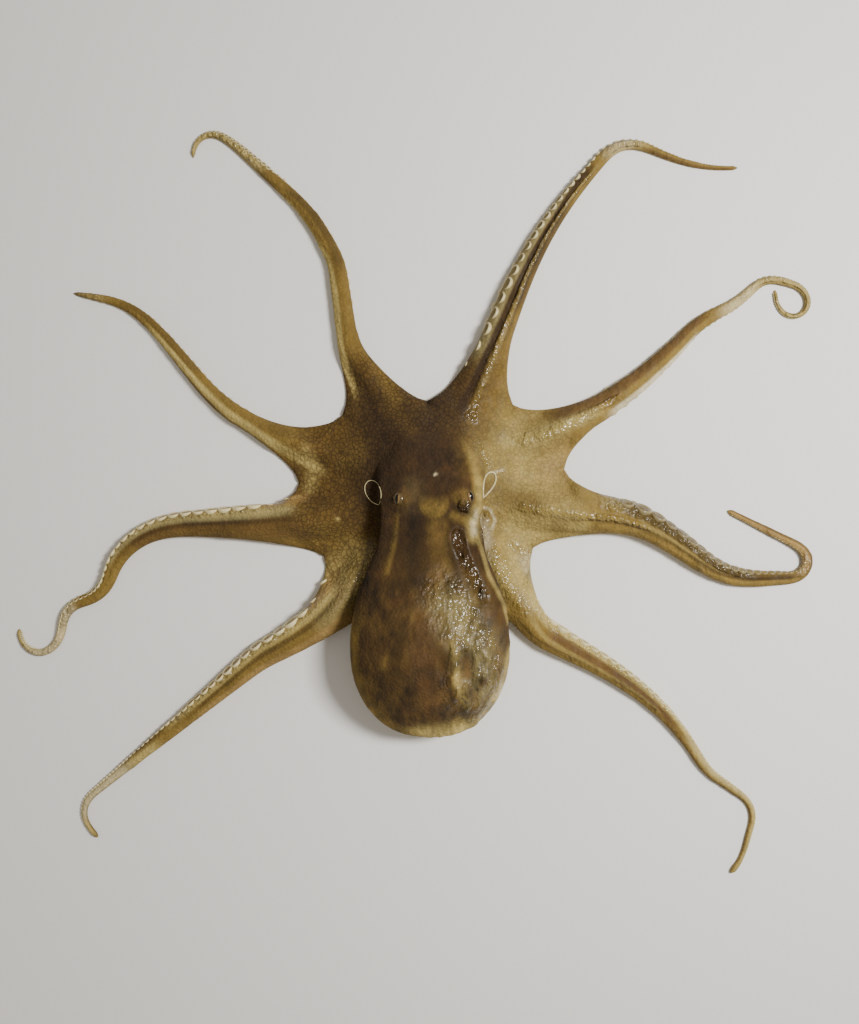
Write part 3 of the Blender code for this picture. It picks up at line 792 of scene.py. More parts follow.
def half_sheet(index, side, cell_count, is_top, lift):
    """Points of half an arm, above or below, from its centre line to its seam or free edge.

    Each point carries its reach and its place across: 1 at the side of the arm where its suckers
    show, -1 at the other, and more than that in the web.
    """
    arm, beside, notch = neighbours(index, side)
    reach = arm.rings()
    edge, along = edge_of(arm, beside, side, notch)
    centre, forward = arm.centre(reach), arm.forward(reach)
    outward = side * np.column_stack([-forward[:, 1], forward[:, 0]])
    joined = reach[:, None] <= notch
    to_free = ramp(reach, notch - NOTCH_LEAD / 2, notch + NOTCH_LEAD / 2)[:, None]
    to_edge = ramp(reach, notch - NOTCH_LEAD / 2, notch)[:, None]

    even = np.linspace(0.0, 1.0, cell_count + 1)[None, :]
    u = even + (np.sin(even * np.pi / 2) - even) * to_free
    points = across_rings(centre, outward, edge, along, u)

    half, height = arm.half_width(reach)[:, None], arm.height(reach)[:, None]
    span = np.linalg.norm(edge - centre, axis=1)[:, None]
    webbed = np.where(joined, 1.0, smoothstep((span / half - 1.0) / WEB_FADE))
    out = smoothstep((reach - BASE_REACH) / WEB_THINNING)[:, None]
    thick = WEB_THICK + (WEB_EDGE_THICK - WEB_THICK) * out
    level = ARM_LEVEL * height + (0.5 * thick - ARM_LEVEL * height) * webbed
    tip = round_off(1.0 - (arm.length - reach) / (2 * TIP_HALF))[:, None]
    if is_top:
        own = thick + ridge(arm, reach, points, thick)
        shared = smooth_max(own, thick + ridge(beside, reach, points, thick))
        top = height + (np.where(joined, shared, own) - height) * webbed
        top = smooth_max(top, crown_height(points))
        z = level + (top - level) * round_off(to_edge * u ** between(TOP_POWERS, webbed)) * tip
    else:
        raised = np.minimum(lift, LIFT_SHARE * level)
        z = level - (level - raised) * round_off(to_edge * u ** between(UNDER_POWERS, webbed)) * tip

    away = np.linalg.norm(points - centre[:, None], axis=2) / half
    points = centre[:, None] + (points - centre[:, None]) * tip[:, :, None]
    far = np.broadcast_to(reach[:, None], z.shape)
    return np.dstack([points, z, far, SUCKERS[index][0] * side * away])


def arm_sheet(index, cell_count, is_top, lift):
    """Upper or under side of one arm, across from its right edge to its left edge."""
    left = half_sheet(index, 1, cell_count, is_top, lift)
    right = half_sheet(index, -1, cell_count, is_top, lift)
    return np.concatenate([right[:, :0:-1], left], axis=1)


def eye_bumps(points):
    """Height of the two bells on which the eyes sit."""
    rise = np.zeros(points.shape[:-1])
    for x, y in EYE_BUMPS:
        away = np.hypot(points[..., 0] - x, points[..., 1] - y)
        rise += EYE_RISE * np.exp(-((away / EYE_REACH) ** 2))
    return rise


def squared_round(wave):
    """A sine or cosine pushed outwards, so that the circle it draws is slightly square."""
    return np.sign(wave) * np.abs(wave) ** (2 / SAC_SQUARENESS)


def sac_grid(base):
    """Loops of the head and the sac, from the base ring to the tip, and what their points know.

    Each loop hangs between the back line and the belly line. The first has the base ring's
    shape, and the ones past the neck are rounded.
    """
    front, rear = base[np.argmax(base[:, 1])], base[np.argmin(base[:, 1])]
    base_half = np.ptp(base[:, 0]) / 2
    stations = np.vstack([(front[1], front[2], rear[1], rear[2], base_half), SAC_STATIONS])
    place = np.linspace(0.0, len(stations) - 1.0, SAC_LOOPS + 1)
    back_y, back_z, belly_y, belly_z, half = smooth_through(stations, place).T
    to_neck = smoothstep(place / NECK_STATION)
    middle = np.column_stack([SAC_LEAN * to_neck, (back_y + belly_y) / 2, (back_z + belly_z) / 2])
    rise = np.column_stack([np.zeros_like(place), (back_y - belly_y) / 2, (back_z - belly_z) / 2])

    angle = np.arctan2(base[:, 1], base[:, 0])
    base_x, base_y = base[:, 0] / base_half, (base[:, 1] - middle[0, 1]) / rise[0, 1]
    x = base_x + (squared_round(np.cos(angle)) - base_x) * to_neck[:, None]
    z = base_y + (squared_round(np.sin(angle)) - base_y) * to_neck[:, None]
    points = middle[:, None] + z[:, :, None] * rise[:, None]
    points[:, :, 0] += x * half[:, None]
    points += (base - points[0]) * (1.0 - smoothstep(place / BASE_FADE))[:, None, None]
    points[:, :, 2] += eye_bumps(points) * np.clip(z, 0.0, 1.0)
    points[:, :, 2] = smooth_max(points[:, :, 2], 0.0, FLOOR_BLEND)
    points[0] = base
    points[-1] = points[-1].mean(axis=0)
    station = np.broadcast_to(place[:, None], z.shape)
    return points, station, np.clip(-2.0 * z - 0.4, 0.0, 1.0) * to_neck[:, None]


def mouth_grid(floor):
    """Loops of the underside from the base ring in to the mouth, where it is drawn up."""
    points = floor * np.linspace(1.0, 0.0, MOUTH_LOOPS + 1)[:, None, None]
    drawn_up = 1.0 - smoothstep(np.hypot(points[..., 0], points[..., 1]) / MOUTH_REACH)
    points[:, :, 2] = floor[:, 2] + MOUTH_DEPTH * drawn_up
    points[-1] = points[-1].mean(axis=0)
    return points


def cells(rows, columns, closed):
    """Corner indexes of a grid's cells; a closed grid joins its last column to its first."""
    row, column = np.mgrid[0 : rows - 1, 0 : columns - (not closed)]
    after = (column + 1) % columns
    here, above = row * columns, (row + 1) * columns
    return np.stack([here + column, here + after, above + after, above + column], axis=-1).reshape(-1, 4)


def joined_blocks(points, faces):
    """Several grids as the points and the faces of one mesh."""
    starts = np.cumsum([0] + [len(block) for block in points[:-1]])
    return np.concatenate(points), np.concatenate([block + start for block, start in zip(faces, starts)])


def skin_arrays(lift):
    """Points, faces and fields of the whole skin, with the shared border points still doubled."""
    points, fields, faces = [], [], []

    def add(grid, *values, closed=False, turned=False):
        corners = cells(*grid.shape[:2], closed)
        known = [np.broadcast_to(np.asarray(value, float), grid.shape[:2]) for value in values]
        points.append(grid.reshape(-1, 3))
        fields.append(np.dstack(known).reshape(-1, len(FIELDS)))
        faces.append(corners[:, ::-1] if turned else corners)

    base, floor = [], []
    for index in range(len(ARMS)):
        upper = arm_sheet(index, TOP_CELLS, True, lift)
        under = arm_sheet(index, UNDER_CELLS, False, lift)
        add(upper[..., :3], index, upper[..., 3], upper[..., 4], 0, -1, turned=True)
        add(under[..., :3], index, under[..., 3], under[..., 4], 1, -1)
        base.append(upper[0, :-1, :3])
        floor.append(under[0, :-1, :3])
    sac, station, belly = sac_grid(np.concatenate(base))
    add(sac, -1, 0, 0, belly, station, closed=True)
    add(mouth_grid(np.concatenate(floor)), -1, 0, 0, 1, -1, closed=True, turned=True)
    return *joined_blocks(points, faces), np.concatenate(fields)


def numbers(items, key, width):
    """What a mesh stores for its vertices, as rows of so many numbers."""
    values = np.zeros(len(items) * width, np.float32)
    items.foreach_get(key, values)
    return values.astype(float).reshape(-1, width)


def places_of(mesh):
    return numbers(mesh.vertices, "co", 3) / MM


def normals_of(mesh):
    return numbers(mesh.vertex_normals, "vector", 3)


def paint(mesh, name, values):
    """Stores one colour or three masks for each vertex."""
    rgba = np.ones((len(values), 4), np.float32)
    rgba[:, :3] = values
    mesh.color_attributes.new(name, "FLOAT_COLOR", "POINT").data.foreach_set("color", rgba.ravel())


def welded(name, points, faces, weld=SMALL_WELD, fields=(), **paints):
    """A smooth mesh in metres whose doubled points are merged and whose faces point out."""
    mesh = bpy.data.meshes.new(name)
    mesh.from_pydata((points * MM).tolist(), [], faces.tolist())
    for field, values in zip(FIELDS, fields):
        layer = mesh.attributes.new(field, "FLOAT", "POINT")
        layer.data.foreach_set("value", values.astype(np.float32))
    for layer, values in paints.items():
        paint(mesh, layer, values)
    form = bmesh.new()
    form.from_mesh(mesh)
    bmesh.ops.remove_doubles(form, verts=form.verts, dist=weld * MM)
    bmesh.ops.recalc_face_normals(form, faces=form.faces)
    form.to_mesh(mesh)
    form.free()
    mesh.shade_smooth()
    return mesh


def add_piece(mesh, material):
    """Puts a finished mesh into the scene and lets it move with the animal."""
    mesh.materials.append(material)
    piece = bpy.data.objects.new(mesh.name, mesh)
    bpy.context.scene.collection.objects.link(piece)
    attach(piece, BODY)
    return piece


def along_arms(fields, rows):
    """For each band of each arm: its points, its mask, its other values and the arm's half width.

    A band's mask falls from 1 on its line across the arm to 0, and fades in and out at its ends.
    """
    for index, bands in enumerate(rows):
        own = np.flatnonzero(fields["arm"] == index)
        reach, across = fields["reach"][own], fields["across"][own]
        for *values, half, line in bands:
            line = np.array(line, float)
            middle = np.interp(reach, line[:, 0], line[:, 1])
            start, end = line[0, 0] - BAND_PAST, line[-1, 0] + BAND_PAST
            mask = ramp(reach, start, start + BAND_FADE) * ramp(reach, end, end - BAND_FADE)
            mask *= ramp(np.abs(across - middle) / half, *BAND_SIDES)
            yield own, mask, values, ARMS[index].half_width(reach)


def tint(colours, colour, mask):
    """Moves colours towards another by a mask from 0 to 1."""
    return colours + (colour - colours) * mask[:, None]


def brushed_over(colours, palette, plan, brush_strokes):
    """Colours under a row of brush strokes, each a soft brush of one colour over the ones before it: some
    are the skin's own marks, some painted light.
    """
    for colour, strength, half, fading, line in brush_strokes:
        colours = tint(colours, palette[colour], strength * stroke(plan, line, half, fading))
    return colours


def relaxed(mesh, places, fields):
    """Places after the fold between the head and the web in front of it is evened out.

    Each point there is drawn to the mean height of its neighbours, many times over.
    """
    edges = np.zeros(len(mesh.edges) * 2, np.int64)
    mesh.edges.foreach_get("vertices", edges)
    near = np.abs(np.hypot(places[:, 0], places[:, 1]) - BASE_REACH)
    soft = ramp(near, CROWN_SOFTNESS, 0.0) * ramp(places[:, 1], *CROWN_FRONT_FADE) * (fields["under"] < 0.5)
    edges = edges.reshape(-1, 2)
    edges = edges[soft[edges].max(axis=1) > 0.0]
    ends = np.concatenate([edges, edges[:, ::-1]])
    count = np.bincount(ends[:, 0], minlength=len(places))
    height = places[:, 2].copy()
    for _ in range(CROWN_ROUNDS):
        mean = np.bincount(ends[:, 0], height[ends[:, 1]], len(places)) / np.maximum(count, 1)
        height += (mean - height) * soft * (count > 0)
    return np.column_stack([places[:, :2], height])


def skin_relief(places, normals, fields, look):
    """How far each point of the skin is pushed out, in millimetres.

    Folds, lumps and furrows are soft strokes of their heights, and noises add drips and wrinkles,
    most of them on the wet side of the sac. It all fades where the skin turns down.
    """
    plan, x, y = places[:, :2], places[:, 0], places[:, 1]
    top = smoothstep(normals[:, 2] / UPWARD) * (1.0 - fields["under"])
    body = (fields["station"] >= 0) * 1.0
    sac = ramp(y, *SAC_LUMPS_Y) * body
    wet = ramp(x, *WET_SIDE_X) * sac
    lump, wrinkle = look.lump_height / MM, look.wrinkle_height / MM
    push = sum(height * stroke(plan, line, half) for height, half, line in FOLDS)
    push += lump * sum(height * stroke(plan, line, half) for height, half, line in LUMPS)
    push += lump * noise("drips", plan) * between(DRIPS_IN_THE_WET, wet) * sac
    push += wrinkle * noise("sac wrinkles", plan) * between(WRINKLES_IN_THE_WET, wet) * body
    push += (noise("arm swells", places) + wrinkle * noise("arm wrinkles", places)) * (1.0 - body)
    push += noise("pool ripples", plan) * stroke(plan, POOL, RIPPLE_HALF)
    for own, mask, (height,), half in along_arms(fields, FURROWS):
        push[own] += height * half * mask
    return push * top


def head_colours(places, palette):
    """Colours of the head and the sac: brush strokes with a painted reflection among them, the bar between
    the eyes with a painted shadow below it, a rim painted paler on the left, partly as painted light,
    mottling.
    """
    plan, x, y = places[:, :2], places[:, 0], places[:, 1]
    skin = brushed_over(np.tile(palette["umber"], (len(places), 1)), palette, plan, BODY_STAINS_AND_PAINTED_LIGHT)
    bar_x, bar_y, wide, long = BAR
    # painted shadow: the skin just below the pale bar is darkened towards umber
    behind = stroke(plan, ((bar_x - 2.0, bar_y), (bar_x + 2.0, bar_y)), BAR_SHADOW) * (y < bar_y)
    skin = tint(skin, palette["umber"], 0.5 * behind)
    bar = ramp(np.hypot((x - bar_x) / wide, (y - bar_y) / long), *BAR_SIDES) * ramp(y, *BAR_CUT)
    skin = tint(skin, palette["tan"], BAR_STRENGTH * bar)
    middle_x, middle_y, half_x, half_y = SAC_OUTLINE
    outward = np.hypot((x - middle_x) / half_x, (y - middle_y) / half_y)
    # painted light: the sac's rim is lightened towards tan on the left, partly its own lighter edge and
    # partly fill where the key light falls off
    rim = ramp(outward, *RIM_SHARES) * ramp(y, *PALE_AND_LIT_RIM_Y)
    skin = tint(skin, palette["tan"], RIM_PALENESS_AND_PAINTED_LIGHT * rim * ramp(x, *PALE_AND_LIT_RIM_X))
    skin *= (1.0 + noise("sac mottling", plan) * ramp(y, *MOTTLED_Y))[:, None]
    skin *= (1.0 + noise("head dots", plan) * ramp(y, *DOTTED_Y))[:, None]
    rusty = smoothstep(noise("rust", places) - 0.1)
    return tint(skin, palette["rust"], RUST_STRENGTH * rusty * (1.0 - rim))


def skin_colours(places, fields, look):
    """Colour of each point of the skin: the web, the arms' coats, then the head and the sac, with painted
    light and shade among them.
    """
    palette = {name: np.array(getattr(look, name)) for name in PALETTE}
    body = fields["station"] >= 0
    colours = np.tile(palette["olive"], (len(places), 1))
    # painted light: paler towards the right, partly the web's own colour and partly light from the key on
    # the right
    colours = tint(colours, palette["tan"], ramp(places[:, 0], *PALE_AND_LIT_WEB_X))
    colours = brushed_over(colours, palette, places[:, :2], WEB_STAINS_AND_PAINTED_LIGHT)
    for own, mask, (colour, strength), _ in along_arms(fields, COATS):
        colours[own] = tint(colours[own], palette[colour], strength * mask)
    colours = tint(colours, head_colours(places, palette), ramp(fields["station"], 0.0, HEAD_START) * body)
    colours *= (1.0 + look.mottle * noise("patches", places))[:, None]
    under = fields["under"] * np.where(body, 0.8, 1.0)
    return np.clip(tint(colours, palette["bone"], UNDERSIDE_PALENESS * under), 0.0, 1.0)


def skin_finish(places, fields):
    """Masks of the skin's finish: how wet it is, how strong its net is, how grainy it is."""
    plan, y, body = places[:, :2], places[:, 1], fields["station"] >= 0
    right = ramp(places[:, 0], *RIGHT_WEB_X)
    wet = np.where(body, BODY_DAMP, between(WEB_DAMP, right))
    for strength, half, fading, line in WET:
        wet = np.maximum(wet, strength * stroke(plan, line, half, fading))
    for own, mask, (strength,), _ in along_arms(fields, SHINES):
        wet[own] = np.maximum(wet[own], strength * mask)
    for strength, half, fading, line in DRY:
        wet *= 1.0 - strength * stroke(plan, line, half, fading)
    wet *= 1.0 + noise("wet breaks", plan)
    net = ramp(fields["reach"], *NET_REACH) * between(WEB_NET, right)
    net = np.where(body, between(HEAD_NET, ramp(y, *NET_HEAD_Y)), net)
    grain = np.where(body, BODY_GRAIN, between(WEB_GRAIN, right)) + WET_GRAIN * ramp(wet, *WET_GRAIN_RANGE)
    for strength, half, fading, line in SMOOTH:
        grain *= 1.0 - strength * stroke(plan, line, half, fading)
    return np.clip(np.column_stack([wet, net, grain]), 0.0, 1.0)


PALETTE = ("shade", "umber", "plum", "rust", "olive", "tan", "bone", "cream", "ash", "rose")


def colour(name, description, red, green, blue):
    return FloatVectorProperty(
        name=name, description=description, default=(red, green, blue), subtype="COLOR", min=0.0, max=1.0
    )


class OctopusSkinLook(bpy.types.PropertyGroup):
    lump_height: FloatProperty(
        name="Lump height", description="Height of the wet lumps on the sac",
        default=0.40 * MM, unit="LENGTH"
    )
    wrinkle_height: FloatProperty(
        name="Wrinkle height", description="Height of the fine wrinkles",
        default=0.14 * MM, unit="LENGTH"
    )
    underside_gap: FloatProperty(
        name="Underside gap", description="Room for the suckers under the skin",
        default=0.8 * MM, unit="LENGTH"
    )
    granule_pitch: FloatProperty(
        name="Granule pitch", description="Distance between the granules of the skin",
        default=0.78 * MM, unit="LENGTH"
    )
    mottle: FloatProperty(
        name="Mottle", description="Strength of the cloudy light and dark patches",
        default=0.16, subtype="FACTOR"
    )
    shade: colour("Shade", "Blackish blotches of the sac and the neck", 0.015, 0.0082, 0.0026)
    umber: colour("Umber", "Darkest skin, on the crown and the sac", 0.039, 0.0200, 0.0050)
    plum: colour("Plum", "Purplish dark skin in front of the eyes", 0.036, 0.020, 0.0095)
    rust: colour("Rust", "Reddish brown patches of the sac and the neck", 0.085, 0.040, 0.011)
    olive: colour("Olive", "Middle brown of the arms and the sac", 0.110, 0.064, 0.0115)
    tan: colour("Tan", "Yellowish brown of the right web", 0.216, 0.143, 0.029)
    bone: colour("Bone", "Pale stripes and rims", 0.425, 0.330, 0.106)
    cream: colour("Cream", "Whitish tissue and glossy edges", 0.620, 0.540, 0.335)
    ash: colour("Ash", "Greyish see-through skin by the suckers", 0.255, 0.212, 0.088)
    rose: colour("Rose", "Pinkish see-through edges and tips", 0.340, 0.218, 0.070)


class OctopusSuckerLook(bpy.types.PropertyGroup):
    width: FloatProperty(
        name="Width", description="Half width of a sucker over that of its arm",
        default=0.50, subtype="FACTOR"
    )
    # the rim colour is partly the sucker's own pale rim and partly a painted highlight
    rim: colour("Rim", "Pale rim of a sucker", 0.720, 0.630, 0.340)
    wall: colour("Wall", "Outer wall of a sucker", 0.150, 0.108, 0.044)
    # the pit colour is painted shade inside the cup
    pit: colour("Pit", "Dark pit of a sucker", 0.075, 0.045, 0.022)


class OctopusEyeLook(bpy.types.PropertyGroup):
    iris: colour("Iris", "Golden iris", 0.210, 0.125, 0.048)
    pupil: colour("Pupil", "Slit pupil", 0.003, 0.002, 0.002)
    lid: colour("Lid", "Skin round the slit", 0.085, 0.058, 0.022)
    ring: colour("Eyespot ring", "Thin pale ring of the eyespots", 0.560, 0.480, 0.270)


class OctopusStageLook(bpy.types.PropertyGroup):
    floor: colour("Floor", "Plain pale floor", 0.80, 0.79, 0.77)
    key_power: FloatProperty(
        name="Key light", description="Power of the soft light on the right", default=2.35, unit="POWER"
    )
    sky: FloatProperty(name="Sky", description="Strength of the light from all round", default=0.43)


def node(tree, kind, output, inputs, **settings):
    """A shader node's output. Its inputs are given as values, or as the outputs that feed them."""
    made = tree.nodes.new("ShaderNode" + kind)
    for key, value in settings.items():
        setattr(made, key, value)
    for key, value in inputs.items():
        if isinstance(value, bpy.types.NodeSocket):
            tree.links.new(value, made.inputs[key])
        else:
            made.inputs[key].default_value = value
    return made.outputs[output]


def maths(tree, operation, *values):
    """The result of one sum on values or outputs."""
    return node(tree, "Math", 0, dict(enumerate(values)), operation=operation)


def stretched(tree, value, low, high, at_low, at_high):
    """A value that runs from one range to another, and stays inside the second."""
    ranges = {"From Min": low, "From Max": high, "To Min": at_low, "To Max": at_high}
    return node(tree, "MapRange", 0, {"Value": value, **ranges})


def wet_grain_group():
    """Node group that several finishes share: granules, the dark net between them, fine flecks."""
    name = "wet_grain"
    if name in bpy.data.node_groups:
        return bpy.data.node_groups[name]
    tree = bpy.data.node_groups.new(name, "ShaderNodeTree")
    tree.interface.new_socket("Pitch", in_out="INPUT", socket_type="NodeSocketFloat")
    for output in ("Height", "Net", "Fleck"):
        tree.interface.new_socket(output, in_out="OUTPUT", socket_type="NodeSocketFloat")
    place = node(tree, "TexCoord", "Object", {})
    warp = node(tree, "TexNoise", "Color", {"Vector": place, "Scale": WARP_SCALE, "Detail": 2.0})
    shifted = node(tree, "VectorMath", 0, {0: warp, 1: (WARP,) * 3, 2: place}, operation="MULTIPLY_ADD")
    start, end = tree.nodes.new("NodeGroupInput"), tree.nodes.new("NodeGroupOutput")
    per_metre = maths(tree, "DIVIDE", 1.0, start.outputs["Pitch"])
    granules = node(tree, "TexVoronoi", "Distance", {"Vector": shifted, "Scale": per_metre}, feature="F1")
    wider = {"Vector": shifted, "Scale": maths(tree, "MULTIPLY", per_metre, NET_CELLS)}
    borders = node(tree, "TexVoronoi", "Distance", wider, feature="DISTANCE_TO_EDGE")
    fine = {"Vector": place, "Scale": FLECK_SCALE, "Detail": 3.0, "Roughness": 0.65}
    fleck = node(tree, "TexNoise", "Fac", fine)
    tree.links.new(stretched(tree, granules, 0.0, GRANULE_EDGE, 1.0, 0.0), end.inputs["Height"])
    tree.links.new(stretched(tree, borders, *NET_LINE, 1.0, 0.0), end.inputs["Net"])
    tree.links.new(stretched(tree, fleck, *FLECK, 0.0, 1.0), end.inputs["Fleck"])
    return tree


def wet_material(name, pitch, flecks, height=0.0, net=0.0):
    """Wet skin: painted colours darkened by the net, the flecks and painted shade in the valleys between the
    granules, gloss from the wet mask.

    The pitch of the granules and their height are in metres, and how dark the net and the flecks
    are runs from 0 to 1. Where the skin is wet and has no net, a slow swell is added to the
    granules' height, longer along the sac than across it.
    """
    material = bpy.data.materials.new(name)
    material.use_nodes = True
    tree = material.node_tree
    painted = node(tree, "Attribute", "Color", {}, attribute_name="paint")
    finish = node(tree, "Attribute", "Color", {}, attribute_name="finish")
    masks = tree.nodes.new("ShaderNodeSeparateColor")
    tree.links.new(finish, masks.inputs["Color"])
    wet, netted, grainy = masks.outputs
    grain = tree.nodes.new("ShaderNodeGroup")
    grain.node_tree = wet_grain_group()
    grain.inputs["Pitch"].default_value = pitch
    granules, net_lines, spots = grain.outputs

    net_share = maths(tree, "MULTIPLY", maths(tree, "MULTIPLY", net_lines, netted), net)
    # painted shade in the valleys between the granules
    valley_shade = maths(tree, "MULTIPLY", stretched(tree, granules, *VALLEY, VALLEY_SHADE_DEPTH, 0.0), grainy)
    fleck_share = maths(tree, "MULTIPLY", spots, flecks)
    dark = maths(tree, "MAXIMUM", maths(tree, "MAXIMUM", net_share, valley_shade), fleck_share)
    mixed = {0: dark, 6: painted, 7: NET_COLOUR}
    darkened = node(tree, "Mix", 2, mixed, data_type="RGBA", blend_type="MULTIPLY")

    place = node(tree, "TexCoord", "Object", {})
    longer = node(tree, "VectorMath", 0, {0: place, 1: SWELL_STRETCH}, operation="MULTIPLY")
    swell = node(tree, "TexNoise", "Fac", {"Vector": longer, "Scale": SWELL_SCALE, "Detail": 1.0})
    wet_off_web = maths(tree, "MULTIPLY", maths(tree, "SUBTRACT", 1.0, netted), wet)
    ripple = maths(tree, "MULTIPLY", maths(tree, "MULTIPLY", swell, SWELL_HEIGHT), wet_off_web)
    relief = maths(tree, "MULTIPLY_ADD", granules, grainy, ripple)
    normal = node(tree, "Bump", 0, {"Height": relief, "Strength": 1.0, "Distance": height})

    shader = tree.nodes["Principled BSDF"]
    tree.links.new(darkened, shader.inputs["Base Color"])
    rough = stretched(tree, wet, *WET_RANGE, DRY_ROUGHNESS, WET_ROUGHNESS)
    tree.links.new(rough, shader.inputs["Roughness"])
    tree.links.new(normal, shader.inputs["Normal"])
    shader.inputs["Specular IOR Level"].default_value = SPECULAR
    return material


def section(index, side, reach, angle):
    """Places, outward and forward directions on one arm, at angles from its top to its suckers.

    The section is half an ellipse above the widest line and half a flatter one below it. Where
    the free edge of the web is wider than the arm, it reaches that edge and is squarer.
    """
    arm, beside, notch = neighbours(index, side)
    edge, _ = edge_of(arm, beside, side, notch)
    edge = np.column_stack([np.interp(reach, arm.rings(), axis) for axis in edge.T])
    centre, forward = arm.centre(reach), arm.forward(reach)
    span = np.linalg.norm(edge - centre, axis=1)
    out = (edge - centre) / span[:, None]
    half, height = arm.half_width(reach), arm.height(reach)
    webbed = smoothstep((span / half - 1.0) / WEB_FADE)
    level = ARM_LEVEL * height * (1.0 - webbed) + 0.5 * WEB_EDGE_THICK * webbed
    share = np.abs(np.sin(angle))
    top = height + (WEB_EDGE_THICK - height) * (1.0 - ridge_bell(share * span, half)) * webbed
    above = (top - level) * round_off(share ** between(TOP_POWERS, webbed))
    below = -level * round_off(share ** between(UNDER_POWERS, webbed))
    rise = level + np.where(np.cos(angle) > 0, above, below)
    places = np.column_stack([centre + out * (np.sin(angle) * span)[:, None], rise])
    tall = height * np.where(np.cos(angle) > 0, 1.0 - ARM_LEVEL, ARM_LEVEL)
    facing = unit(np.column_stack([out * (np.sin(angle) * tall)[:, None], np.cos(angle) * half]))
    return places, facing, np.column_stack([forward, np.zeros(len(reach))])


def sucker_places(look):
    """Place, facing, forward direction, half width and paleness of each sucker, two rows to an arm."""
    rows = []
    for index, (side, start, spacing, tilt, sunk, pale, rolls) in enumerate(SUCKERS):
        arm = ARMS[index]
        reach = np.linspace(start, arm.length - 1.0, SUCKER_SAMPLES)
        count = np.cumsum(1.0 / (spacing * arm.half_width(reach))) * (reach[1] - reach[0])
        for row in (0, 1):
            spots = np.interp(np.arange(0.5 * row, count[-1]), count, reach)
            angle = np.radians(np.interp(spots, *np.transpose(rolls))) + row * ROW_APART
            places, _, forward = section(index, side, spots, angle)
            _, facing, _ = section(index, side, spots, angle + np.radians(tilt))
            half = arm.half_width(spots)
            places -= facing * (sunk * half)[:, None]
            size = look.width * half * (1.0 + 0.12 * lattice_noise(spots[:, None], 1.7, row + 11))
            size *= 0.5 + 0.5 * smoothstep((spots - start) / SUCKER_GROWTH)
            rows.append(np.column_stack([places, facing, forward, size, np.full(len(spots), pale)]))
    return np.split(np.concatenate(rows), (3, 6, 9, 10), axis=1)


def turned_forms(profile, sides, places, facing, forward, size):
    """One turned form at every place: the profile swept round the facing direction."""
    turn = full_turn(sides)[None, :, None]
    aside = unit(np.cross(facing, forward))
    spokes = np.cos(turn) * np.cross(aside, facing)[:, None] + np.sin(turn) * aside[:, None]
    wide = profile[None, :, None, None, 0] * spokes[:, None]
    tall = profile[None, :, None, None, 1] * facing[:, None, None]
    points = places[:, None, None] + (wide + tall) * size[:, None, None]
    faces = cells(len(profile), sides, True)
    starts = np.arange(len(places)) * len(profile) * sides
    return points.reshape(-1, 3), (faces[None] + starts[:, None, None]).reshape(-1, 4)


def make_skin(look):
    """The whole skin as one welded mesh, then its relief along the normals, and its paint."""
    points, faces, fields = skin_arrays(look.underside_gap / MM)
    mesh = welded("octopus_skin", points, faces, SKIN_WELD, fields.T)
    fields = {name: numbers(mesh.attributes[name].data, "value", 1)[:, 0] for name in FIELDS}
    places, normals = relaxed(mesh, places_of(mesh), fields), normals_of(mesh)
    places += normals * skin_relief(places, normals, fields, look)[:, None]
    places[:, 2] = np.maximum(places[:, 2], 0.0)
    mesh.vertices.foreach_set("co", (places * MM).astype(np.float32).ravel())
    paint(mesh, "paint", skin_colours(places, fields, look))
    paint(mesh, "finish", skin_finish(places, fields))
    for name in FIELDS:
        mesh.attributes.remove(mesh.attributes[name])
    mesh.update()
    material = wet_material("octopus_skin", look.granule_pitch, flecks=0.45, height=0.24 * MM, net=0.8)
    skin = add_piece(mesh, material)
    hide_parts(NODE)


def make_suckers(look):
    """Cups turned from the profile, whose colour runs from the wall to the rim, pale with a painted
    highlight, and on to the pit, dark with painted shade.
    """
    places, facing, forward, size, pale = sucker_places(look)
    points, faces = turned_forms(SUCKER_PROFILE, SUCKER_SIDES, places, facing, forward, size)
    points[:, 2] = np.maximum(points[:, 2], 0.0)
    part = np.tile(np.repeat(SUCKER_PROFILE[:, 2], SUCKER_SIDES), len(places))
    pale = np.repeat(pale, SUCKER_SIDES * len(SUCKER_PROFILE))
    # rim colour with a painted highlight, pit colour with painted shade
    rim, wall, pit = (np.array(tone) for tone in (look.rim, look.wall, look.pit))
    wall = tint(wall, rim, PALE_WALL * pale)
    rim = tint(wall, rim, pale)
    colours = wall + (rim - wall) * smoothstep(part)[:, None] + (pit - rim) * smoothstep(part - 1.0)[:, None]
    finish = np.column_stack([0.95 - 0.35 * pale, np.zeros(len(pale)), np.full(len(pale), 0.3)])
    mesh = welded("suckers", points, faces, paint=colours, finish=finish)
    add_piece(mesh, wet_material("sucker_skin", pitch=0.5 * MM, flecks=0.35, height=0.05 * MM))


def skin_top(at):
    """Places on the skin straight above or below given ones, from its nearest upward points."""
    skin = bpy.data.objects.get("octopus_skin")
    if skin is None:
        raise RuntimeError("the skin has to be made before what lies on it")
    points = places_of(skin.data)[normals_of(skin.data)[:, 2] > 0.2]
    apart = np.linalg.norm(points[None, :, :2] - at[:, None], axis=2) - 0.02 * points[None, :, 2]
    near = np.argsort(apart, axis=1)[:, :3]
    return np.column_stack([at, points[near, 2].mean(axis=1)])


def tube(path, radius, sides):
    """A thin closed tube round a closed path, with its own up direction at every point."""
    ahead = unit(np.roll(path, -1, axis=0) - np.roll(path, 1, axis=0))
    aside = unit(np.cross(ahead, (0.0, 0.0, 1.0)))
    up = np.cross(aside, ahead)
    turn = full_turn(sides)[None, :, None]
    points = path[:, None] + radius * (np.cos(turn) * aside[:, None] + np.sin(turn) * up[:, None])
    return points.reshape(-1, 3), cells(len(path) + 1, sides, True) % (len(path) * sides)


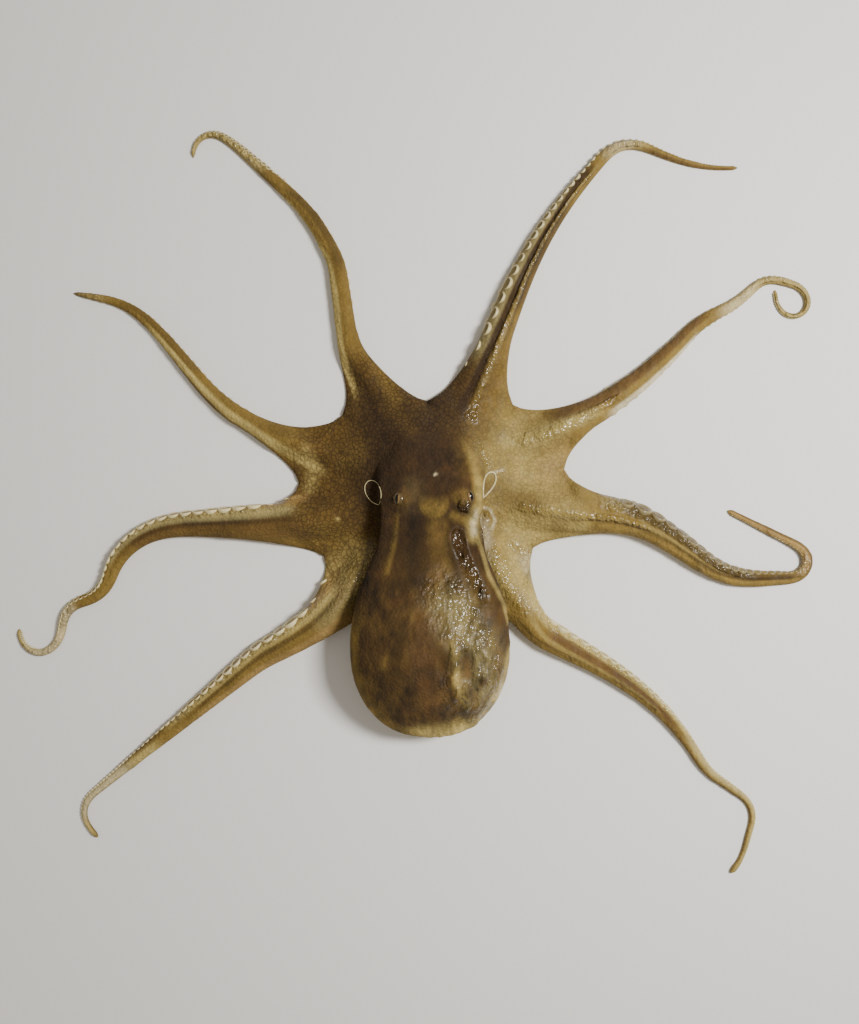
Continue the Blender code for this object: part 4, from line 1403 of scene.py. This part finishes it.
def eyespot_path(middle, half_width, half_height, lean, point):
    """A drop shape: the sine of the turn, drawn in towards the bottom by a power of half of it."""
    turn = full_turn(RING_SAMPLES)
    x = half_width * np.sin(turn) * np.sin(turn / 2) ** point
    y = -half_height * np.cos(turn)
    slope = np.radians(lean)
    across = x * np.cos(slope) - y * np.sin(slope) + middle[0]
    return np.column_stack([across, x * np.sin(slope) + y * np.cos(slope) + middle[1]])


def glossy(points):
    """The wet mask for a small piece: all of it is wet, without net or grain."""
    return np.tile((1.0, 0.0, 0.0), (len(points), 1))


def make_eyespots(look):
    """Drop-shaped rings of thin tube that lie on the skin, at its evened height."""
    points, faces = [], []
    for *shape, thickness in EYESPOTS:
        path = skin_top(eyespot_path(*shape))
        even = np.convolve(np.tile(path[:, 2], 3), np.ones(RING_EVENING) / RING_EVENING, "same")
        path[:, 2] = even[RING_SAMPLES : 2 * RING_SAMPLES] + RING_RISE
        ring, corners = tube(path, thickness, RING_SIDES)
        points.append(ring)
        faces.append(corners)
    points, faces = joined_blocks(points, faces)
    colours = np.tile(look.ring, (len(points), 1))
    mesh = welded("eyespot_rings", points, faces, paint=colours, finish=glossy(points))
    add_piece(mesh, wet_material("eyespot_gold", pitch=0.5 * MM, flecks=0.3, height=0.02 * MM))


def make_eyes(look):
    """Eyeballs as domes: an arc turned about an axis that leans outwards, with a slit on top."""
    arc, turn = np.linspace(0.0, EYE_ARC, EYE_RINGS)[:, None], full_turn(EYE_SIDES)
    streaks = 1.0 + 0.35 * lattice_noise(np.column_stack([np.cos(turn), np.sin(turn)]), 0.22, 21)
    iris = np.array(look.iris) * np.tile(streaks, EYE_RINGS)[:, None]
    ahead = EYE_RADIUS * np.sin(arc) * np.cos(turn)
    aside = EYE_RADIUS * np.sin(arc) * np.sin(turn)
    rise = np.broadcast_to(EYE_RADIUS * np.cos(arc), ahead.shape)
    along = np.array([0.0, 1.0, 0.0])
    points, faces, colours = [], [], []
    for place, side, lean in EYES:
        axis = np.array([side * np.sin(EYE_TILT), 0.0, np.cos(EYE_TILT)])
        middle = skin_top(np.array([place]))[0] - axis * (EYE_RADIUS - EYE_PROUD)
        grid = middle + ahead[..., None] * along + aside[..., None] * np.cross(along, axis)
        points.append((grid + rise[..., None] * axis).reshape(-1, 3))
        faces.append(cells(EYE_RINGS, EYE_SIDES, True))
        slope = np.radians(lean)
        length = (ahead * np.cos(slope) + aside * np.sin(slope)).ravel()
        width = (aside * np.cos(slope) - ahead * np.sin(slope)).ravel()
        off_iris = np.hypot((side * width + IRIS_SHIFT) / IRIS_HALF[0], length / IRIS_HALF[1])
        off_slit = np.hypot(width / SLIT_HALF[0], length / SLIT_HALF[1])
        tone = tint(iris, np.array(look.lid), ramp(off_iris, 0.8, 1.2))
        colours.append(tint(tone, np.array(look.pupil), ramp(off_slit, 1.15, 0.85)))
    points, faces = joined_blocks(points, faces)
    colours = np.clip(np.concatenate(colours), 0.0, 1.0)
    mesh = welded("eyes", points, faces, paint=colours, finish=glossy(points))
    add_piece(mesh, wet_material("eye_gloss", pitch=0.4 * MM, flecks=0.2))


def make_floor(colour):
    """A wide round sheet on z = 0."""
    turn = full_turn(FLOOR_SIDES)
    rim = np.column_stack([np.cos(turn), np.sin(turn), np.zeros(FLOOR_SIDES)]) * FLOOR_RADIUS
    mesh = bpy.data.meshes.new("studio_floor")
    mesh.from_pydata((rim * MM).tolist(), [], [list(range(FLOOR_SIDES))])
    material = bpy.data.materials.new("studio_floor")
    material.use_nodes = True
    shader = material.node_tree.nodes["Principled BSDF"]
    shader.inputs["Base Color"].default_value = (*colour, 1.0)
    shader.inputs["Roughness"].default_value = FLOOR_ROUGHNESS
    mesh.materials.append(material)
    floor = bpy.data.objects.new("studio_floor", mesh)
    bpy.context.scene.collection.objects.link(floor)


def make_lights(key_power, sky_strength):
    """One soft light on the right that looks at the animal, and light from all round."""
    data = bpy.data.lights.new("key_light", "AREA")
    data.shape = "RECTANGLE"
    data.size, data.size_y = (side * MM for side in KEY_SIZE)
    data.energy = key_power
    data.color = KEY_COLOUR
    light = bpy.data.objects.new("key_light", data)
    light.location = [value * MM for value in KEY_PLACE]
    direction = Vector(KEY_AIM) - Vector(KEY_PLACE)
    light.rotation_euler = direction.to_track_quat("-Z", "Y").to_euler()
    bpy.context.scene.collection.objects.link(light)
    world = bpy.data.worlds.new("studio")
    world.use_nodes = True
    backdrop = world.node_tree.nodes["Background"]
    backdrop.inputs["Color"].default_value = SKY_COLOUR
    backdrop.inputs["Strength"].default_value = sky_strength
    bpy.context.scene.world = world


def make_camera():
    data = bpy.data.cameras.new("camera")
    data.lens, data.sensor_width = CAMERA_LENS, SENSOR
    data.clip_start = NEAREST_SEEN * MM
    camera = bpy.data.objects.new("camera", data)
    camera.location = [value * MM for value in CAMERA_PLACE]
    bpy.context.scene.collection.objects.link(camera)
    bpy.context.scene.camera = camera


def make_stage(look):
    make_floor(look.floor)
    make_lights(look.key_power, look.sky)
    make_camera()


class OCTOPUS_OT_skin(bpy.types.Operator):
    """Make the skin of the arms, the web, the head and the sac, which stands for the solid"""

    bl_idname = "octopus.skin"
    bl_label = "Skin"

    def execute(self, context):
        make_skin(context.scene.octopus_skin)
        return {"FINISHED"}


class OCTOPUS_OT_suckers(bpy.types.Operator):
    """Make the two rows of suckers on every arm"""

    bl_idname = "octopus.suckers"
    bl_label = "Suckers"

    def execute(self, context):
        make_suckers(context.scene.octopus_suckers)
        return {"FINISHED"}


class OCTOPUS_OT_eyes(bpy.types.Operator):
    """Make both eyes, with their slit pupils"""

    bl_idname = "octopus.eyes"
    bl_label = "Eyes"

    def execute(self, context):
        make_eyes(context.scene.octopus_eyes)
        return {"FINISHED"}


class OCTOPUS_OT_eyespots(bpy.types.Operator):
    """Make the thin pale rings of the two eyespots on the web"""

    bl_idname = "octopus.eyespots"
    bl_label = "Eyespots"

    def execute(self, context):
        make_eyespots(context.scene.octopus_eyes)
        return {"FINISHED"}


class OCTOPUS_OT_stage(bpy.types.Operator):
    """Make the floor, the lights and the camera"""

    bl_idname = "octopus.stage"
    bl_label = "Stage"

    def execute(self, context):
        make_stage(context.scene.octopus_stage)
        return {"FINISHED"}


LOOKS = {
    "octopus_skin": OctopusSkinLook,
    "octopus_suckers": OctopusSuckerLook,
    "octopus_eyes": OctopusEyeLook,
    "octopus_stage": OctopusStageLook,
}
STEPS = (OCTOPUS_OT_skin, OCTOPUS_OT_suckers, OCTOPUS_OT_eyes, OCTOPUS_OT_eyespots, OCTOPUS_OT_stage)


class OCTOPUS_PT_panel(bpy.types.Panel):
    """Buttons and settings of the octopus"""

    bl_idname = "OCTOPUS_PT_panel"
    bl_label = "Octopus"
    bl_space_type = "VIEW_3D"
    bl_region_type = "UI"
    bl_category = "Octopus"

    def draw(self, context):
        for step in STEPS:
            self.layout.operator(step.bl_idname)
        for name in LOOKS:
            box = self.layout.box()
            look = getattr(context.scene, name)
            for key in look.bl_rna.properties.keys():
                if key not in ("rna_type", "name"):
                    box.prop(look, key)


def register():
    for item in (*LOOKS.values(), *STEPS, OCTOPUS_PT_panel):
        bpy.utils.register_class(item)
    for name, look in LOOKS.items():
        setattr(bpy.types.Scene, name, PointerProperty(type=look))


def unregister():
    for name in LOOKS:
        delattr(bpy.types.Scene, name)
    for item in reversed((*LOOKS.values(), *STEPS, OCTOPUS_PT_panel)):
        bpy.utils.unregister_class(item)


def main():
    register()
    bpy.ops.octopus.skin()
    bpy.ops.octopus.suckers()
    bpy.ops.octopus.eyes()
    bpy.ops.octopus.eyespots()
    bpy.ops.octopus.stage()


if __name__ == "__main__":
    main()
